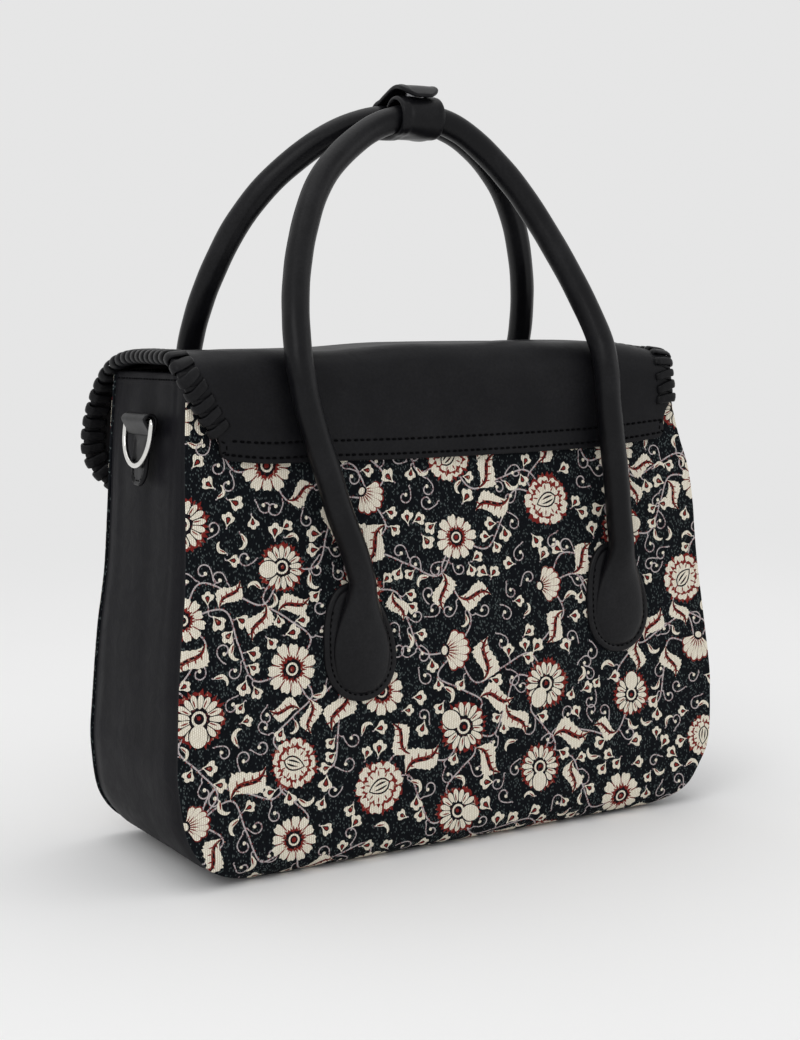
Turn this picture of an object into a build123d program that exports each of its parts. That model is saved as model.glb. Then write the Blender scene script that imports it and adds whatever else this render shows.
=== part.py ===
from build123d import *
import os
from math import asin, atan, atan2, cos, hypot, pi, radians, sin, sqrt, tan

# A structured handbag satchel with woven panels, leather gussets and a flap with a laced edge.
# The bag stands on its base on z = 0. X runs across its width and +Z is up.
# The flap is sewn to the back panel, on the -Y side, and closes over the front panel, on +Y.

# Bag body
body_width = 320.0
top_width = 290.0
widest_height = 75.0
rim_height = 254.0
corner_radius = 48.0
base_depth = 130.0
top_depth = 100.0
roll_radius = 16.0
panel_thickness = 2.5
gusset_thickness = 2.0
gusset_foot = 8.0
layer_gap = 0.3

# Lining and the stiff board in the base
lining_thickness = 1.0
lining_drop = 5.0
board_thickness = 3.0
board_margin = 3.0
board_corner = 10.0

# Flap, two leather layers glued back to back
flap_layer = 1.5
flap_width = 298.0
flap_sewn_width = 268.0
flap_sewn_height = 207.0
flap_rise = 7.0
flap_sewn_gap = 0.6
flap_back_lean = 2.0
flap_back_shoulder = 15.0
flap_front_shoulder = 21.5
flap_front_corner = 30.0
flap_sewn_corner = 6.0
flap_taper_blend = 12.0

# Lace that is whipped round the free edge of the flap
lace_pitch = 7.8
lace_width = 6.0
lace_end_width = 4.8
lace_thickness = 1.1
lace_reach = 8.0
lace_slant = 15.0
lace_gap = 0.4
lace_start_height = 219.0

# Magnetic snap under the front of the flap
snap_radius = 8.0
snap_socket_thickness = 3.6
snap_stud_thickness = 3.8
snap_height = 203.0
snap_lace_room = 5.0

# Rolled handles with a sewn paddle at each end. The reach is from the keeper to the left and right
# leg at the bow height. The passes are where a leg goes by the flap's edge, above and below it.
# A paddle's height is that of its round middle, for the left and the right one.
handle_diameter = 14.0
handle_top = 386.0
handle_bow_height = 250.0
handle_centre = 8.0
handle_top_spacing = 18.0
handle_back_reach = (98.0, 84.0)
handle_front_reach = (104.0, 112.0)
handle_gap = 0.5
handle_bow_room = 1.5
handle_edge_room = 1.2
handle_step = 30.0
handle_arc_share = 0.46
handle_waist_drop = 18.0
handle_foot_rise = 14.0
handle_back_passes = (10.0, -24.0)
handle_front_passes = (24.0, -4.0)
paddle_spacing = 161.5
paddle_offset = 20.5
paddle_height = (105.0, 113.0)
paddle_radius = 20.3
paddle_neck_rise = 40.0
paddle_neck_overlap = 6.0
paddle_pad_overlap = 8.0
paddle_rim_thickness = 2.6
paddle_pad_height = 5.0
paddle_pad_level = 0.35
paddle_gap = 0.2

# Cross sections of the padded middle of a paddle: place along it and half width, as shares of the
# paddle's radius, and height as a share of the pad's height
paddle_sections = ((-0.72, 0.28, 0.62), (-0.25, 0.62, 0.95), (0.35, 0.64, 1.15), (1.05, 0.48, 1.8))

# Keeper strap that holds the two handles together
keeper_width = 25.0
keeper_thickness = 2.2
keeper_slack = 0.35
keeper_end_slope = 0.6
keeper_snap_radius = 5.0
keeper_snap_half = 1.0
keeper_snap_gap = 0.1

# Ring and leather tab on each gusset, a little nearer to the back panel
ring_wire = 2.8
ring_inner_width = 32.0
ring_arm = 5.5
ring_corner = 1.9
ring_height = 229.0
ring_set_back = 5.0
tab_thickness = 1.8
tab_side_gap = 0.5
tab_ring_gap = 0.8
tab_length = 33.0
tab_tip_radius = 8.5
tab_shoulder = 5.0
tab_fold = 7.0
tab_gap = 0.3

# Values that follow from the sizes above
half_body = body_width / 2
side_rise = rim_height - widest_height
side_step = (body_width - top_width) / 2
side_radius = (side_rise**2 + side_step**2) / (2 * side_step)
side_centre_x = half_body - side_radius
wall_slope = (base_depth - top_depth) / 2 / (rim_height - roll_radius)
wall_lean = atan(wall_slope)
base_flat_y = top_depth / 2 + rim_height * wall_slope - roll_radius / tan((pi / 2 - wall_lean) / 2)
gusset_seam_x = half_body - corner_radius - gusset_foot
flap_thickness = 2 * flap_layer
flap_front_height = snap_height - snap_radius - lace_reach - snap_lace_room
flap_standoff = snap_socket_thickness + snap_stud_thickness + layer_gap
handle_radius = handle_diameter / 2
wire_radius = ring_wire / 2


def wall_y(z):
    """Half depth of the bag's outside at a height."""
    return top_depth / 2 + (rim_height - z) * wall_slope


def side_x(z, inset=0.0):
    """Half width of the bag above its widest level, less an inset."""
    return side_centre_x + sqrt((side_radius - inset) ** 2 - (z - widest_height) ** 2)


def prism_y(sketch, low, high):
    """A front outline (X, Z) made solid between two depths."""
    return extrude(Plane.XZ.offset(-high) * sketch, amount=high - low)


def prism_x(sketch, half):
    """A side profile (Y, Z) made solid across the width."""
    return extrude(Plane.YZ * sketch, amount=half, both=True)


def front_outline(inset=0.0):
    """Front outline of the bag: flat base, round corners and bowed sides."""
    base, turn = inset, corner_radius - inset
    turn_x = half_body - corner_radius
    diagonal = turn / sqrt(2)
    side_middle = (rim_height + widest_height) / 2
    right = Curve() + [
        Line((0, base), (turn_x, base)),
        ThreePointArc(
            (turn_x, base),
            (turn_x + diagonal, corner_radius - diagonal),
            (half_body - inset, corner_radius),
        ),
        Line((half_body - inset, corner_radius), (half_body - inset, widest_height)),
        ThreePointArc(
            (half_body - inset, widest_height),
            (side_x(side_middle, inset), side_middle),
            (side_x(rim_height, inset), rim_height),
        ),
        Line((side_x(rim_height, inset), rim_height), (0, rim_height)),
        Line((0, rim_height), (0, base)),
    ]
    face = make_face(right)
    return face + mirror(face, about=Plane.YZ)


def side_profile(inset=0.0):
    """Side profile of the bag: leaning walls that roll under into the base."""
    shift = inset / cos(wall_lean)
    low, high = wall_y(inset) - shift, wall_y(rim_height) - shift
    shape = Polygon((-low, inset), (low, inset), (high, rim_height), (-high, rim_height), align=None)
    return fillet(shape.vertices().group_by(Axis.Y)[0], roll_radius - inset)


def half_space(level, side):
    """A block that fills the space above (side +1) or below (side -1) a level."""
    return Pos(0, 0, level + side * body_width / 2) * Box(body_width, body_width, body_width)


def wall_plane(side, x, z):
    """Plane on the outside of a panel: side is -1 at the back and +1 at the front."""
    normal = (0, side * cos(wall_lean), sin(wall_lean))
    return Plane(origin=(x, side * wall_y(z), z), x_dir=(-side, 0, 0), z_dir=normal)


def gusset_plane(side, z):
    """Plane on the outside of a gusset, where its ring sits: side is -1 at the left, +1 at the right."""
    x = side_x(z)
    normal = (side * (x - side_centre_x), 0, z - widest_height)
    return Plane(origin=(side * x, -ring_set_back, z), x_dir=(0, side, 0), z_dir=normal)


def make_body():
    """Panels, gussets and base: one skin cut where the real pieces are sewn together."""
    outer = front_outline()
    walls = side_profile() - side_profile(panel_thickness)
    walls -= Rectangle(2 * base_flat_y, 4 * panel_thickness)
    back, front = walls.faces().sort_by(Axis.X)
    block = prism_y(outer, -base_depth, base_depth)
    ring = prism_y(outer - front_outline(gusset_thickness), -base_depth, base_depth)
    ring &= prism_x(side_profile() - walls, body_width)
    middle = Box(2 * gusset_seam_x, 2 * base_depth, 2 * corner_radius)
    sides = (ring - middle).solids().sort_by(Axis.X)
    return {
        "back_panel": prism_x(back, body_width) & block,
        "front_panel": prism_x(front, body_width) & block,
        "gusset_left": sides[0],
        "gusset_right": sides[-1],
        "base_panel": ring & middle,
    }


def make_inside():
    """The stiff board on the base and the sewn lining bag over it."""
    board_x = half_body - corner_radius - board_margin
    board_y = base_flat_y - board_margin
    board = extrude(RectangleRounded(2 * board_x, 2 * board_y, board_corner), amount=board_thickness)
    floor = gusset_thickness + board_thickness + layer_gap
    inset = max(panel_thickness, gusset_thickness) + layer_gap

    def pouch(depth, low, high):
        shape = prism_y(front_outline(inset + depth), -base_depth, base_depth)
        shape &= prism_x(side_profile(inset + depth), body_width)
        return shape & Pos(0, 0, (low + high) / 2) * Box(2 * body_width, 2 * base_depth, high - low)

    top = rim_height - lining_drop
    lining = pouch(0, floor, top) - pouch(lining_thickness, floor + lining_thickness, rim_height)
    return {"base_board": Pos(0, 0, gusset_thickness) * board, "lining": lining}


def flap_line(offset=0.0):
    """Side line of the flap from its sewn edge to its front edge, moved outward by an offset."""
    lean = radians(flap_back_lean)
    half = flap_thickness / 2
    top = rim_height + flap_rise + half + offset

    def back_y(z):
        sewn = wall_y(flap_sewn_height) + flap_sewn_gap + half
        return -(sewn + (z - flap_sewn_height) * tan(lean) + offset / cos(lean))

    def front_y(z):
        return wall_y(z) + (flap_standoff + half + offset) / cos(wall_lean)

    low_back = flap_sewn_height - offset * sin(lean)
    low_front = flap_front_height + offset * sin(wall_lean)
    points = [(back_y(z), z) for z in (low_back, top)] + [(front_y(z), z) for z in (top, low_front)]
    return FilletPolyline(*points, radius=[flap_back_shoulder + offset, flap_front_shoulder + offset])


def flap_plan():
    """Blocks that leave the flap its outline: tapered where it is sewn, round at the front."""
    half, sewn = flap_width / 2, flap_sewn_width / 2
    shoulder = rim_height + flap_rise - flap_back_shoulder
    high = rim_height + 4 * flap_rise
    back = Polygon(
        (-sewn, flap_sewn_height), (sewn, flap_sewn_height), (half, shoulder),
        (half, high), (-half, high), (-half, shoulder), align=None,
    )
    back = fillet(back.vertices().group_by(Axis.Y)[0], flap_sewn_corner)
    back = fillet(back.vertices().filter_by(lambda v: abs(v.Y - shoulder) < 0.01), flap_taper_blend)
    front = Pos(0, (flap_front_height + high) / 2) * Rectangle(flap_width, high - flap_front_height)
    front = fillet(front.vertices().group_by(Axis.Y)[0], flap_front_corner)
    return prism_y(back, -base_depth, 0) + prism_y(front, 0, base_depth)


def flap_sheet(inner, outer):
    """One leather layer of the flap, between two offsets from its middle."""
    low, high = flap_line(inner), flap_line(outer)
    ends = [Line(low @ 0, high @ 0), Line(low @ 1, high @ 1)]
    return prism_x(make_face(Curve() + [low, high] + ends), body_width) & flap_plan()


def lace_wrap():
    """One turn of the lace round the flap's edge, slanted on its outer face.

    In its own frame x points inward, y runs along the edge and z points outward.
    """
    inside = flap_thickness / 2 + lace_gap
    outside = inside + lace_thickness
    nose = RegularPolygon(outside, 8, major_radius=False, rotation=22.5)
    hook = Pos(lace_reach / 2, 0) * Rectangle(lace_reach, 2 * outside) + nose
    slot = Pos(lace_reach, 0) * Rectangle(2 * (lace_reach + lace_gap), 2 * inside)
    turn = extrude(Plane.XZ * (hook - slot), amount=lace_width, both=True)
    halves = []
    for face, slant in ((1, lace_slant), (-1, 0)):
        shear = (lace_reach + outside) * tan(radians(slant))
        plan = Polygon(
            (-outside, -lace_width / 2), (lace_reach, shear - lace_end_width / 2),
            (lace_reach, shear + lace_end_width / 2), (-outside, lace_width / 2), align=None,
        )
        halves.append(turn & extrude(plan, amount=face * outside))
    return (halves[0] + halves[1]).solid()


def make_lace():
    """Turns of the lace, set out along the edge of the flap's flat pattern and then bent with it."""
    bend = flap_line()
    lean = radians(flap_back_lean)
    half = flap_width / 2
    taper_end = (rim_height + flap_rise - flap_back_shoulder - flap_sewn_height) / cos(lean)
    start = (lace_start_height - flap_sewn_height) / cos(lean)
    start_x = flap_sewn_width / 2 + (half - flap_sewn_width / 2) * start / taper_end
    run = FilletPolyline(
        (-start_x, start), (-half, taper_end), (-half, bend.length),
        (half, bend.length), (half, taper_end), (start_x, start),
        radius=[flap_taper_blend, flap_front_corner, flap_front_corner, flap_taper_blend],
    )
    count = round(run.length / lace_pitch)
    wrap = lace_wrap()
    wraps = []
    for index in range(count):
        place = (index + 0.5) / count
        flat, along = run @ place, run % place
        spot = bend.position_at(flat.Y, position_mode=PositionMode.LENGTH)
        rise = bend.tangent_at(flat.Y, position_mode=PositionMode.LENGTH)
        rise = Vector(0, rise.X, rise.Y)
        out = Vector(1, 0, 0).cross(rise)
        forward = Vector(along.X, 0, 0) + rise * along.Y
        frame = Plane(origin=(flat.X, spot.X, spot.Y), x_dir=forward.cross(out), z_dir=out)
        wraps.append(wrap.moved(frame.location))
    return Compound(wraps)


def make_flap():
    """Both layers of the flap, the lace on its edge and the snap under its front."""
    socket = extrude(Circle(snap_radius), amount=snap_socket_thickness)
    stud_low = snap_socket_thickness + layer_gap
    stud = extrude(Pos(0, 0, stud_low) * Circle(snap_radius), amount=snap_stud_thickness)
    seat = wall_plane(1, 0, snap_height)
    return {
        "flap_outer": flap_sheet(0, flap_layer),
        "flap_facing": flap_sheet(-flap_layer, 0),
        "edge_lace": make_lace(),
        "magnet_socket": seat * socket,
        "magnet_stud": seat * stud,
    }


def smooth_path(points):
    """A path through the runs between points, with each corner as large an arc as they allow."""
    radii = []
    for before, corner, after in zip(points, points[1:], points[2:]):
        first, second = corner - before, after - corner
        turn = radians(first.get_angle(second))
        radii.append(handle_arc_share * min(first.length, second.length) / tan(turn / 2))
    return FilletPolyline(*points, radius=radii)


def bow_depth(side):
    """Depth of a handle at its bow height, where it leans just clear of the flap's shoulder."""
    shoulders = flap_line().edges().filter_by(GeomType.CIRCLE).sort_by(Axis.X)
    arc = shoulders[0] if side < 0 else shoulders[-1]
    top_y = handle_top_spacing / 2
    across, down = side * arc.arc_center.X - top_y, handle_top - arc.arc_center.Y
    clear = arc.radius + flap_thickness / 2 + handle_radius + handle_gap + handle_bow_room
    angle = atan2(across, down) + asin(clear / hypot(across, down))
    return top_y + (handle_top - handle_bow_height) * tan(angle)


def handle_points(side, reach):
    """Corner points of a handle's middle line, from its left paddle to its right one."""
    height = handle_top - handle_bow_height
    step = radians(handle_step)
    spread = 1 / cos(step / 2)
    clear = handle_radius + handle_gap
    sewn = wall_y(flap_sewn_height) + flap_sewn_gap + flap_thickness
    lace_out = flap_thickness / 2 + lace_gap + lace_thickness
    front_edge = (flap_standoff + flap_thickness / 2 + lace_out) / cos(wall_lean)
    bow_y = bow_depth(side)
    if side < 0:
        edge_y = sewn + clear + handle_edge_room
        over = [flap_sewn_height + rise for rise in handle_back_passes]
    else:
        edge_y = wall_y(flap_front_height) + front_edge + clear + handle_edge_room
        over = [flap_front_height + rise for rise in handle_front_passes]

    def low_y(z):
        return wall_y(z) + (handle_radius + paddle_gap) / cos(wall_lean)

    def lean_y(z):
        share = (z - handle_bow_height) / height
        return bow_y + share * (handle_top_spacing / 2 - bow_y)

    halves = []
    for hand, width, low in zip((-1, 1), reach, paddle_height):
        foot = paddle_offset + hand * paddle_spacing / 2
        neck = low + paddle_neck_rise
        bow = handle_centre + hand * width
        arch = []
        for turn in (2.5, 1.5, 0.5):
            x = handle_centre + hand * width * spread * cos(turn * step)
            z = handle_bow_height + height * spread * sin(turn * step)
            arch.append(Vector(x, side * lean_y(z), z))
        leg = [Vector(bow, side * bow_y, handle_bow_height)]
        waist = handle_bow_height - handle_waist_drop
        for z in over:
            share = (waist - z) / (waist - neck)
            leg.append(Vector(bow + share * (foot - bow), side * edge_y, z))
        for z in (neck - paddle_neck_overlap, low + handle_foot_rise):
            leg.append(Vector(foot, side * low_y(z), z))
        halves.append(arch + leg)
    left, right = halves
    return left[::-1] + right


def paddle():
    """A paddle on its panel: a flat sewn rim and a padded middle that narrows to the handle."""
    neck = paddle_neck_rise
    end = Pos(0, neck - paddle_neck_overlap) * Circle(handle_radius)
    outline = make_hull((Circle(paddle_radius) + end).edges())
    rim = extrude(Pos(0, 0, paddle_gap) * outline, amount=paddle_rim_thickness)
    sections = []
    for up, width, height in paddle_sections:
        centre = paddle_gap + paddle_pad_level * paddle_pad_height * height
        plane = Plane(origin=(0, up * paddle_radius, centre), x_dir=(1, 0, 0), z_dir=(0, 1, 0))
        half_height = (1 - paddle_pad_level) * paddle_pad_height * height
        sections.append(plane * Ellipse(width * paddle_radius, half_height))
    top = (0, neck - paddle_pad_overlap, paddle_gap + handle_radius)
    sections.append(Plane(origin=top, x_dir=(1, 0, 0), z_dir=(0, 1, 0)) * Circle(handle_radius))
    return rim + (loft(sections) & half_space(paddle_gap, 1))


def make_handle(side, reach):
    """One rolled handle with both of its paddles."""
    points = handle_points(side, reach)
    path = smooth_path(points)
    start = Plane(origin=path @ 0, z_dir=path % 0)
    shape = sweep(start * Circle(handle_radius), path=path)
    for hand, low in zip((-1, 1), paddle_height):
        foot = paddle_offset + hand * paddle_spacing / 2
        shape += wall_plane(side, foot, low) * paddle()
    return shape


def make_keeper():
    """The strap sewn round the back handle, taken under the front one and snapped on top."""
    reach = min(handle_back_reach + handle_front_reach)
    sag = keeper_width**2 / 8 * (handle_top - handle_bow_height) / reach**2
    y = (handle_top_spacing + sag) / 2
    middle = handle_top - sag / 2
    hold = handle_radius + sag / 2 + keeper_slack
    loop_out = hold + keeper_thickness
    radius = hold + keeper_thickness / 2
    over = radius + keeper_thickness + 2 * keeper_snap_half + 3 * keeper_snap_gap
    loop = Pos(-y, middle) * (Circle(loop_out) - Circle(hold))
    round_front = CenterArc((y, middle), radius, -90, 180)
    under = Line((-y, middle - radius), (y, middle - radius))
    back_over = Spline(
        round_front @ 1, (-y / 2, middle + over), (-2 * y, middle + over - keeper_thickness),
        tangents=[round_front % 1, (-1, -keeper_end_slope)],
    )
    strap = trace(Curve() + [under, round_front, back_over], keeper_thickness)
    profile = loop + (strap - Pos(-y, middle) * Circle(radius))
    strap = prism_x(profile, keeper_width / 2)
    disc = Pos(0, -y, middle) * extrude(Circle(keeper_snap_radius), amount=over)
    parting = middle + loop_out + keeper_snap_half
    inner = prism_x(Pos(-y, middle) * Circle(loop_out), keeper_width)
    socket = disc & half_space(parting, -1)
    stud = disc & half_space(parting + keeper_snap_gap, 1)
    seat = Pos(handle_centre, 0, 0)
    return {
        "keeper_strap": seat * strap,
        "keeper_snap_socket": seat * (socket - inner),
        "keeper_snap_stud": seat * (stud - strap).solids().sort_by(Axis.Z)[0],
    }


def make_ring():
    """A wire ring with a straight bar, hung below the bar, in the frame of its tab."""
    centre = tab_gap + tab_thickness + tab_ring_gap + wire_radius
    half = ring_inner_width / 2 + wire_radius
    side = FilletPolyline((0, 0), (half, 0), (half, -ring_arm), radius=ring_corner)
    bottom = ThreePointArc(
        (half, -ring_arm), (half * cos(pi / 4), -ring_arm - half * sin(pi / 4)), (0, -ring_arm - half)
    )
    path = Wire((side.edges() + bottom.edges()))
    start = Plane(origin=path @ 0, z_dir=path % 0)
    shape = sweep(start * Circle(wire_radius), path=path)
    return Pos(0, 0, centre) * (shape + mirror(shape, about=Plane.YZ))


def make_tab():
    """The leather tab of a ring: folded over the bar, with a round tongue sewn to the gusset."""
    centre = tab_thickness + tab_ring_gap + wire_radius
    bend = Circle(centre) - Circle(centre - tab_thickness)
    bend -= Pos(0, -centre) * Rectangle(2 * centre, 2 * centre)
    back = Polygon((0, 0), (tab_thickness, 0), (tab_thickness, -tab_length), (0, -tab_length), align=None)
    seam = tab_thickness / 2
    front = Polygon(
        (2 * centre, 0), (2 * centre - tab_thickness, 0), (seam, -tab_fold),
        (seam + tab_thickness, -tab_fold), align=None,
    )
    profile = Pos(centre, 0) * bend + back + front
    wide = ring_inner_width - 2 * tab_side_gap
    plane = Plane(origin=(0, 0, 0), x_dir=(0, 0, 1), z_dir=(-1, 0, 0))
    strip = extrude(plane * profile, amount=wide / 2, both=True)
    top = Pos(0, (centre - tab_fold) / 2) * Rectangle(wide, centre + tab_fold)
    tongue = Pos(0, tab_tip_radius / 2 - tab_length / 2)
    tongue *= Rectangle(2 * tab_tip_radius, tab_length - tab_tip_radius)
    plan = top + tongue
    inner = plan.vertices().filter_by(lambda v: abs(v.Y + tab_fold) < 0.01 and abs(v.X) < wide / 2 - 0.01)
    plan = fillet(inner, min(tab_shoulder, 0.9 * (wide / 2 - tab_tip_radius)))
    plan += Pos(0, tab_tip_radius - tab_length) * Circle(tab_tip_radius)
    strip &= extrude(plan, amount=4 * centre, both=True)
    return Pos(0, 0, tab_gap) * strip


nodes = make_body() | make_inside() | make_flap()
nodes["handle_back"] = make_handle(-1, handle_back_reach)
nodes["handle_front"] = make_handle(1, handle_front_reach)
nodes |= make_keeper()
for side, name in ((-1, "left"), (1, "right")):
    seat = gusset_plane(side, ring_height)
    nodes["dring_" + name] = seat * make_ring()
    nodes["dring_tab_" + name] = seat * make_tab()

os.makedirs("parts", exist_ok=True)
for name, shape in nodes.items():
    export_step(shape, f"parts/{name}.step")
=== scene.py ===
"""Looks of the satchel: woven floral panels, leather sides, laced flap, rolled handles and rings.

Sizes are in millimetres and become metres when a mesh is made. X runs across the bag, +Z is up,
-Y is the back panel that faces the camera and +Y the front that the flap closes over.
"""
import logging
import math
import random
from dataclasses import dataclass
from enum import Enum, IntEnum
from typing import Callable, Sequence

import bmesh
import bpy
import numpy as np
from mathutils import Matrix, Vector
from mathutils.geometry import delaunay_2d_cdt


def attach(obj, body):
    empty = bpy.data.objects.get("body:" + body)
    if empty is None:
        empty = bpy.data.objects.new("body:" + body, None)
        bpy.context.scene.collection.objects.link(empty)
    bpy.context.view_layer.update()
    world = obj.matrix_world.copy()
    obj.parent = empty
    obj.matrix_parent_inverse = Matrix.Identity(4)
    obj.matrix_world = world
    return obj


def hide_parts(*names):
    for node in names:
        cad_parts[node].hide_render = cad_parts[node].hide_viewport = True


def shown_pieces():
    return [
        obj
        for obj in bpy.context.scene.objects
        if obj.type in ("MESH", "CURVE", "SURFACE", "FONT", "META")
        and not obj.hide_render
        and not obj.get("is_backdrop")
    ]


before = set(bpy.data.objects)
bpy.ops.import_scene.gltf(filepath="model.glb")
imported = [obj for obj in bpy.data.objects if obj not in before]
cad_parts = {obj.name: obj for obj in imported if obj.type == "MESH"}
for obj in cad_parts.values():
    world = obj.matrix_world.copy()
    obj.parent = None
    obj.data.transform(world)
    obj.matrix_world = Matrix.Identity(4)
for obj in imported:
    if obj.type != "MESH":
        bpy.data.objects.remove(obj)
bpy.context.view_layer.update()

Array = np.ndarray
Colour = tuple[float, float, float, float]
Socket = bpy.types.NodeSocket
LOG = logging.getLogger("satchel")
MM = 0.001
STEP = 0.5  # distance of the points on seams and on the laced edge
MERGE = 2e-7  # points closer than this, in metres, become one
BATCH = 4000  # points measured at a time
SEAM_AND_SHADOW = 1  # number of the thread, which is painted darker for the shade of its grooves, or of the painted slit shadow, among a piece's finishes


# Lines and small sums

def drawn_line(points: Sequence[Sequence[float]], closed: bool = False, per: int = 10) -> Array:
    """A smooth line through points.

    Args:
        points: Points of any dimension, in order.
        closed: Whether the line comes back to its start.
        per: Points laid on each span.

    Returns:
        The points of the line, one row each.
    """
    knots = np.asarray(points, float)
    if closed:
        span = np.vstack([knots[-1], knots, knots[:2]])
    else:
        span = np.vstack([2 * knots[0] - knots[1], knots, 2 * knots[-1] - knots[-2]])
    t = np.linspace(0, 1, per, endpoint=False)[:, None]
    runs = []
    for a, b, c, d in zip(span, span[1:], span[2:], span[3:]):
        bow = (2 * a - 5 * b + 4 * c - d) * t**2 + (3 * b - a - 3 * c + d) * t**3
        runs.append(0.5 * (2 * b + (c - a) * t + bow))
    if not closed:
        runs.append(knots[-1:])
    return np.vstack(runs)


def spaced(line: Array, step: float, axes: int = 3) -> Array:
    """The same line with its points at even steps.

    Args:
        line: Points of the line.
        step: Distance that the points come close to.
        axes: How many of the columns count as distance.

    Returns:
        The evenly spaced points, ends kept.
    """
    gone = gone_along(line[:, :axes])
    marks = np.linspace(0, gone[-1], max(2, round(gone[-1] / step)) + 1)
    return np.stack([np.interp(marks, gone, line[:, k]) for k in range(line.shape[1])], 1)


def unit(rows: Array) -> Array:
    """The same rows at length 1."""
    return rows / np.linalg.norm(rows, axis=1)[:, None]


def heading(line: Array) -> Array:
    """Direction of a line at each of its points."""
    return unit(np.gradient(line, axis=0))


def full_turn(count: int) -> Array:
    """Even angles round a full turn."""
    return np.linspace(0, 2 * math.pi, count, endpoint=False)


def way(turn: float) -> Array:
    """Flat direction at an angle."""
    return np.array([math.cos(turn), math.sin(turn)])


def arc(centre: Sequence[float], radius: float, start: float, stop: float, count: int) -> Array:
    """Points on a flat arc between two angles in degrees."""
    turn = np.radians(np.linspace(start, stop, count))
    return np.stack([centre[0] + radius * np.cos(turn), centre[1] + radius * np.sin(turn)], 1)


def smoothed(rows: Array, reach: int) -> Array:
    """Directions averaged over their neighbours on both sides.

    Args:
        rows: Directions, one each row.
        reach: How many neighbours count on each side.

    Returns:
        The averaged directions, at length 1.
    """
    kernel = np.ones(2 * reach + 1) / (2 * reach + 1)
    return unit(np.stack([np.convolve(np.pad(part, reach, "edge"), kernel, "valid") for part in rows.T], 1))


class Path:
    """A flat line that is read by the length gone along it."""

    def __init__(self, line: Array, marks: Array) -> None:
        """Keeps the line, the length gone at each point, and the directions."""
        self.line, self.marks, self.ahead = line, marks, heading(line)

    def at(self, gone: Array) -> list[Array]:
        """Both parts of the place, then both parts of the direction."""
        return [np.interp(gone, self.marks, part[:, k]) for part in (self.line, self.ahead) for k in range(2)]


def shown(name: str, data: bpy.types.ID) -> bpy.types.Object:
    """Puts a mesh, lamp or camera into the scene.

    Args:
        name: Name of the object.
        data: What it shows.

    Returns:
        The new object.
    """
    made = bpy.data.objects.new(name, data)
    bpy.context.scene.collection.objects.link(made)
    return made


def gone_along(line: Array) -> Array:
    """Length gone along a line at each of its points."""
    return np.concatenate([[0], np.cumsum(np.linalg.norm(np.diff(line, axis=0), axis=1))])


def eased(low: float, high: float, value: Array) -> Array:
    """Share from 0 at low to 1 at high, level at both ends."""
    share = np.clip((np.asarray(value, float) - low) / (high - low), 0, 1)
    return share * share * (3 - 2 * share)


def hill(centre: float, width: float, value: Array) -> Array:
    """A soft bump of height 1 round a centre."""
    return np.exp(-(((np.asarray(value, float) - centre) / width) ** 2))


def table(rows: Sequence[Sequence[float]]) -> Callable[[Array], Array]:
    """A function that reads values between the rows of a table.

    Args:
        rows: Pairs of place and value, in rising order of place.

    Returns:
        The function from place to value.
    """
    line = drawn_line(rows, per=8)
    return lambda value: np.interp(value, line[:, 0], line[:, 1])


def edge_rows(length: float, step: float, rim: float) -> Array:
    """Places across a sheet, close together where its edge is round.

    Args:
        length: Size of the sheet that way.
        step: Distance between the places in the middle.
        rim: Width of the round edge.

    Returns:
        The places from 0 to the length.
    """
    near = rim * np.array([0, 0.1, 0.35, 0.7, 1.0])
    count = max(2, round((length - 2 * rim) / step))
    middle = np.linspace(rim, length - rim, count + 1)[1:-1]
    return np.concatenate([near, middle, length - near[::-1]])


def round_edge(distance: Array, half: float) -> Array:
    """Half thickness of a sheet at a distance from its rounded edge."""
    share = np.clip(distance / half, 0, 1)
    return half * np.sqrt(np.clip(1 - (1 - share) ** 2, 0, 1))


def offset_loop(loop: Array, inward: float) -> Array:
    """A closed flat loop moved inward.

    Args:
        loop: Points of the loop, counter-clockwise.
        inward: Distance to move.

    Returns:
        The moved points.
    """
    ahead = unit(np.roll(loop, -1, 0) - loop)
    behind = np.roll(ahead, 1, 0)
    normal = unit(np.stack([-(ahead[:, 1] + behind[:, 1]), ahead[:, 0] + behind[:, 0]], 1))
    square = np.stack([-ahead[:, 1], ahead[:, 0]], 1)
    stretch = np.clip(np.sum(normal * square, 1), 0.5, 1)
    return loop + inward * normal / stretch[:, None]


def loop_distance(points: Array, loop: Array) -> Array:
    """Distance of flat points from a closed loop.

    Args:
        points: Points to measure.
        loop: Points of the loop.

    Returns:
        One distance for each point.
    """
    start, run = loop, np.roll(loop, -1, 0) - loop
    square = np.sum(run * run, 1) + 1e-12
    best = np.full(len(points), 1e9)
    for first in range(0, len(points), BATCH):
        part = points[first:first + BATCH, None, :]
        share = np.clip(np.sum((part - start) * run, 2) / square, 0, 1)
        gap = part - start - share[..., None] * run
        best[first:first + BATCH] = np.sqrt(np.min(np.sum(gap * gap, 2), 1))
    return best


# Meshes

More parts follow.
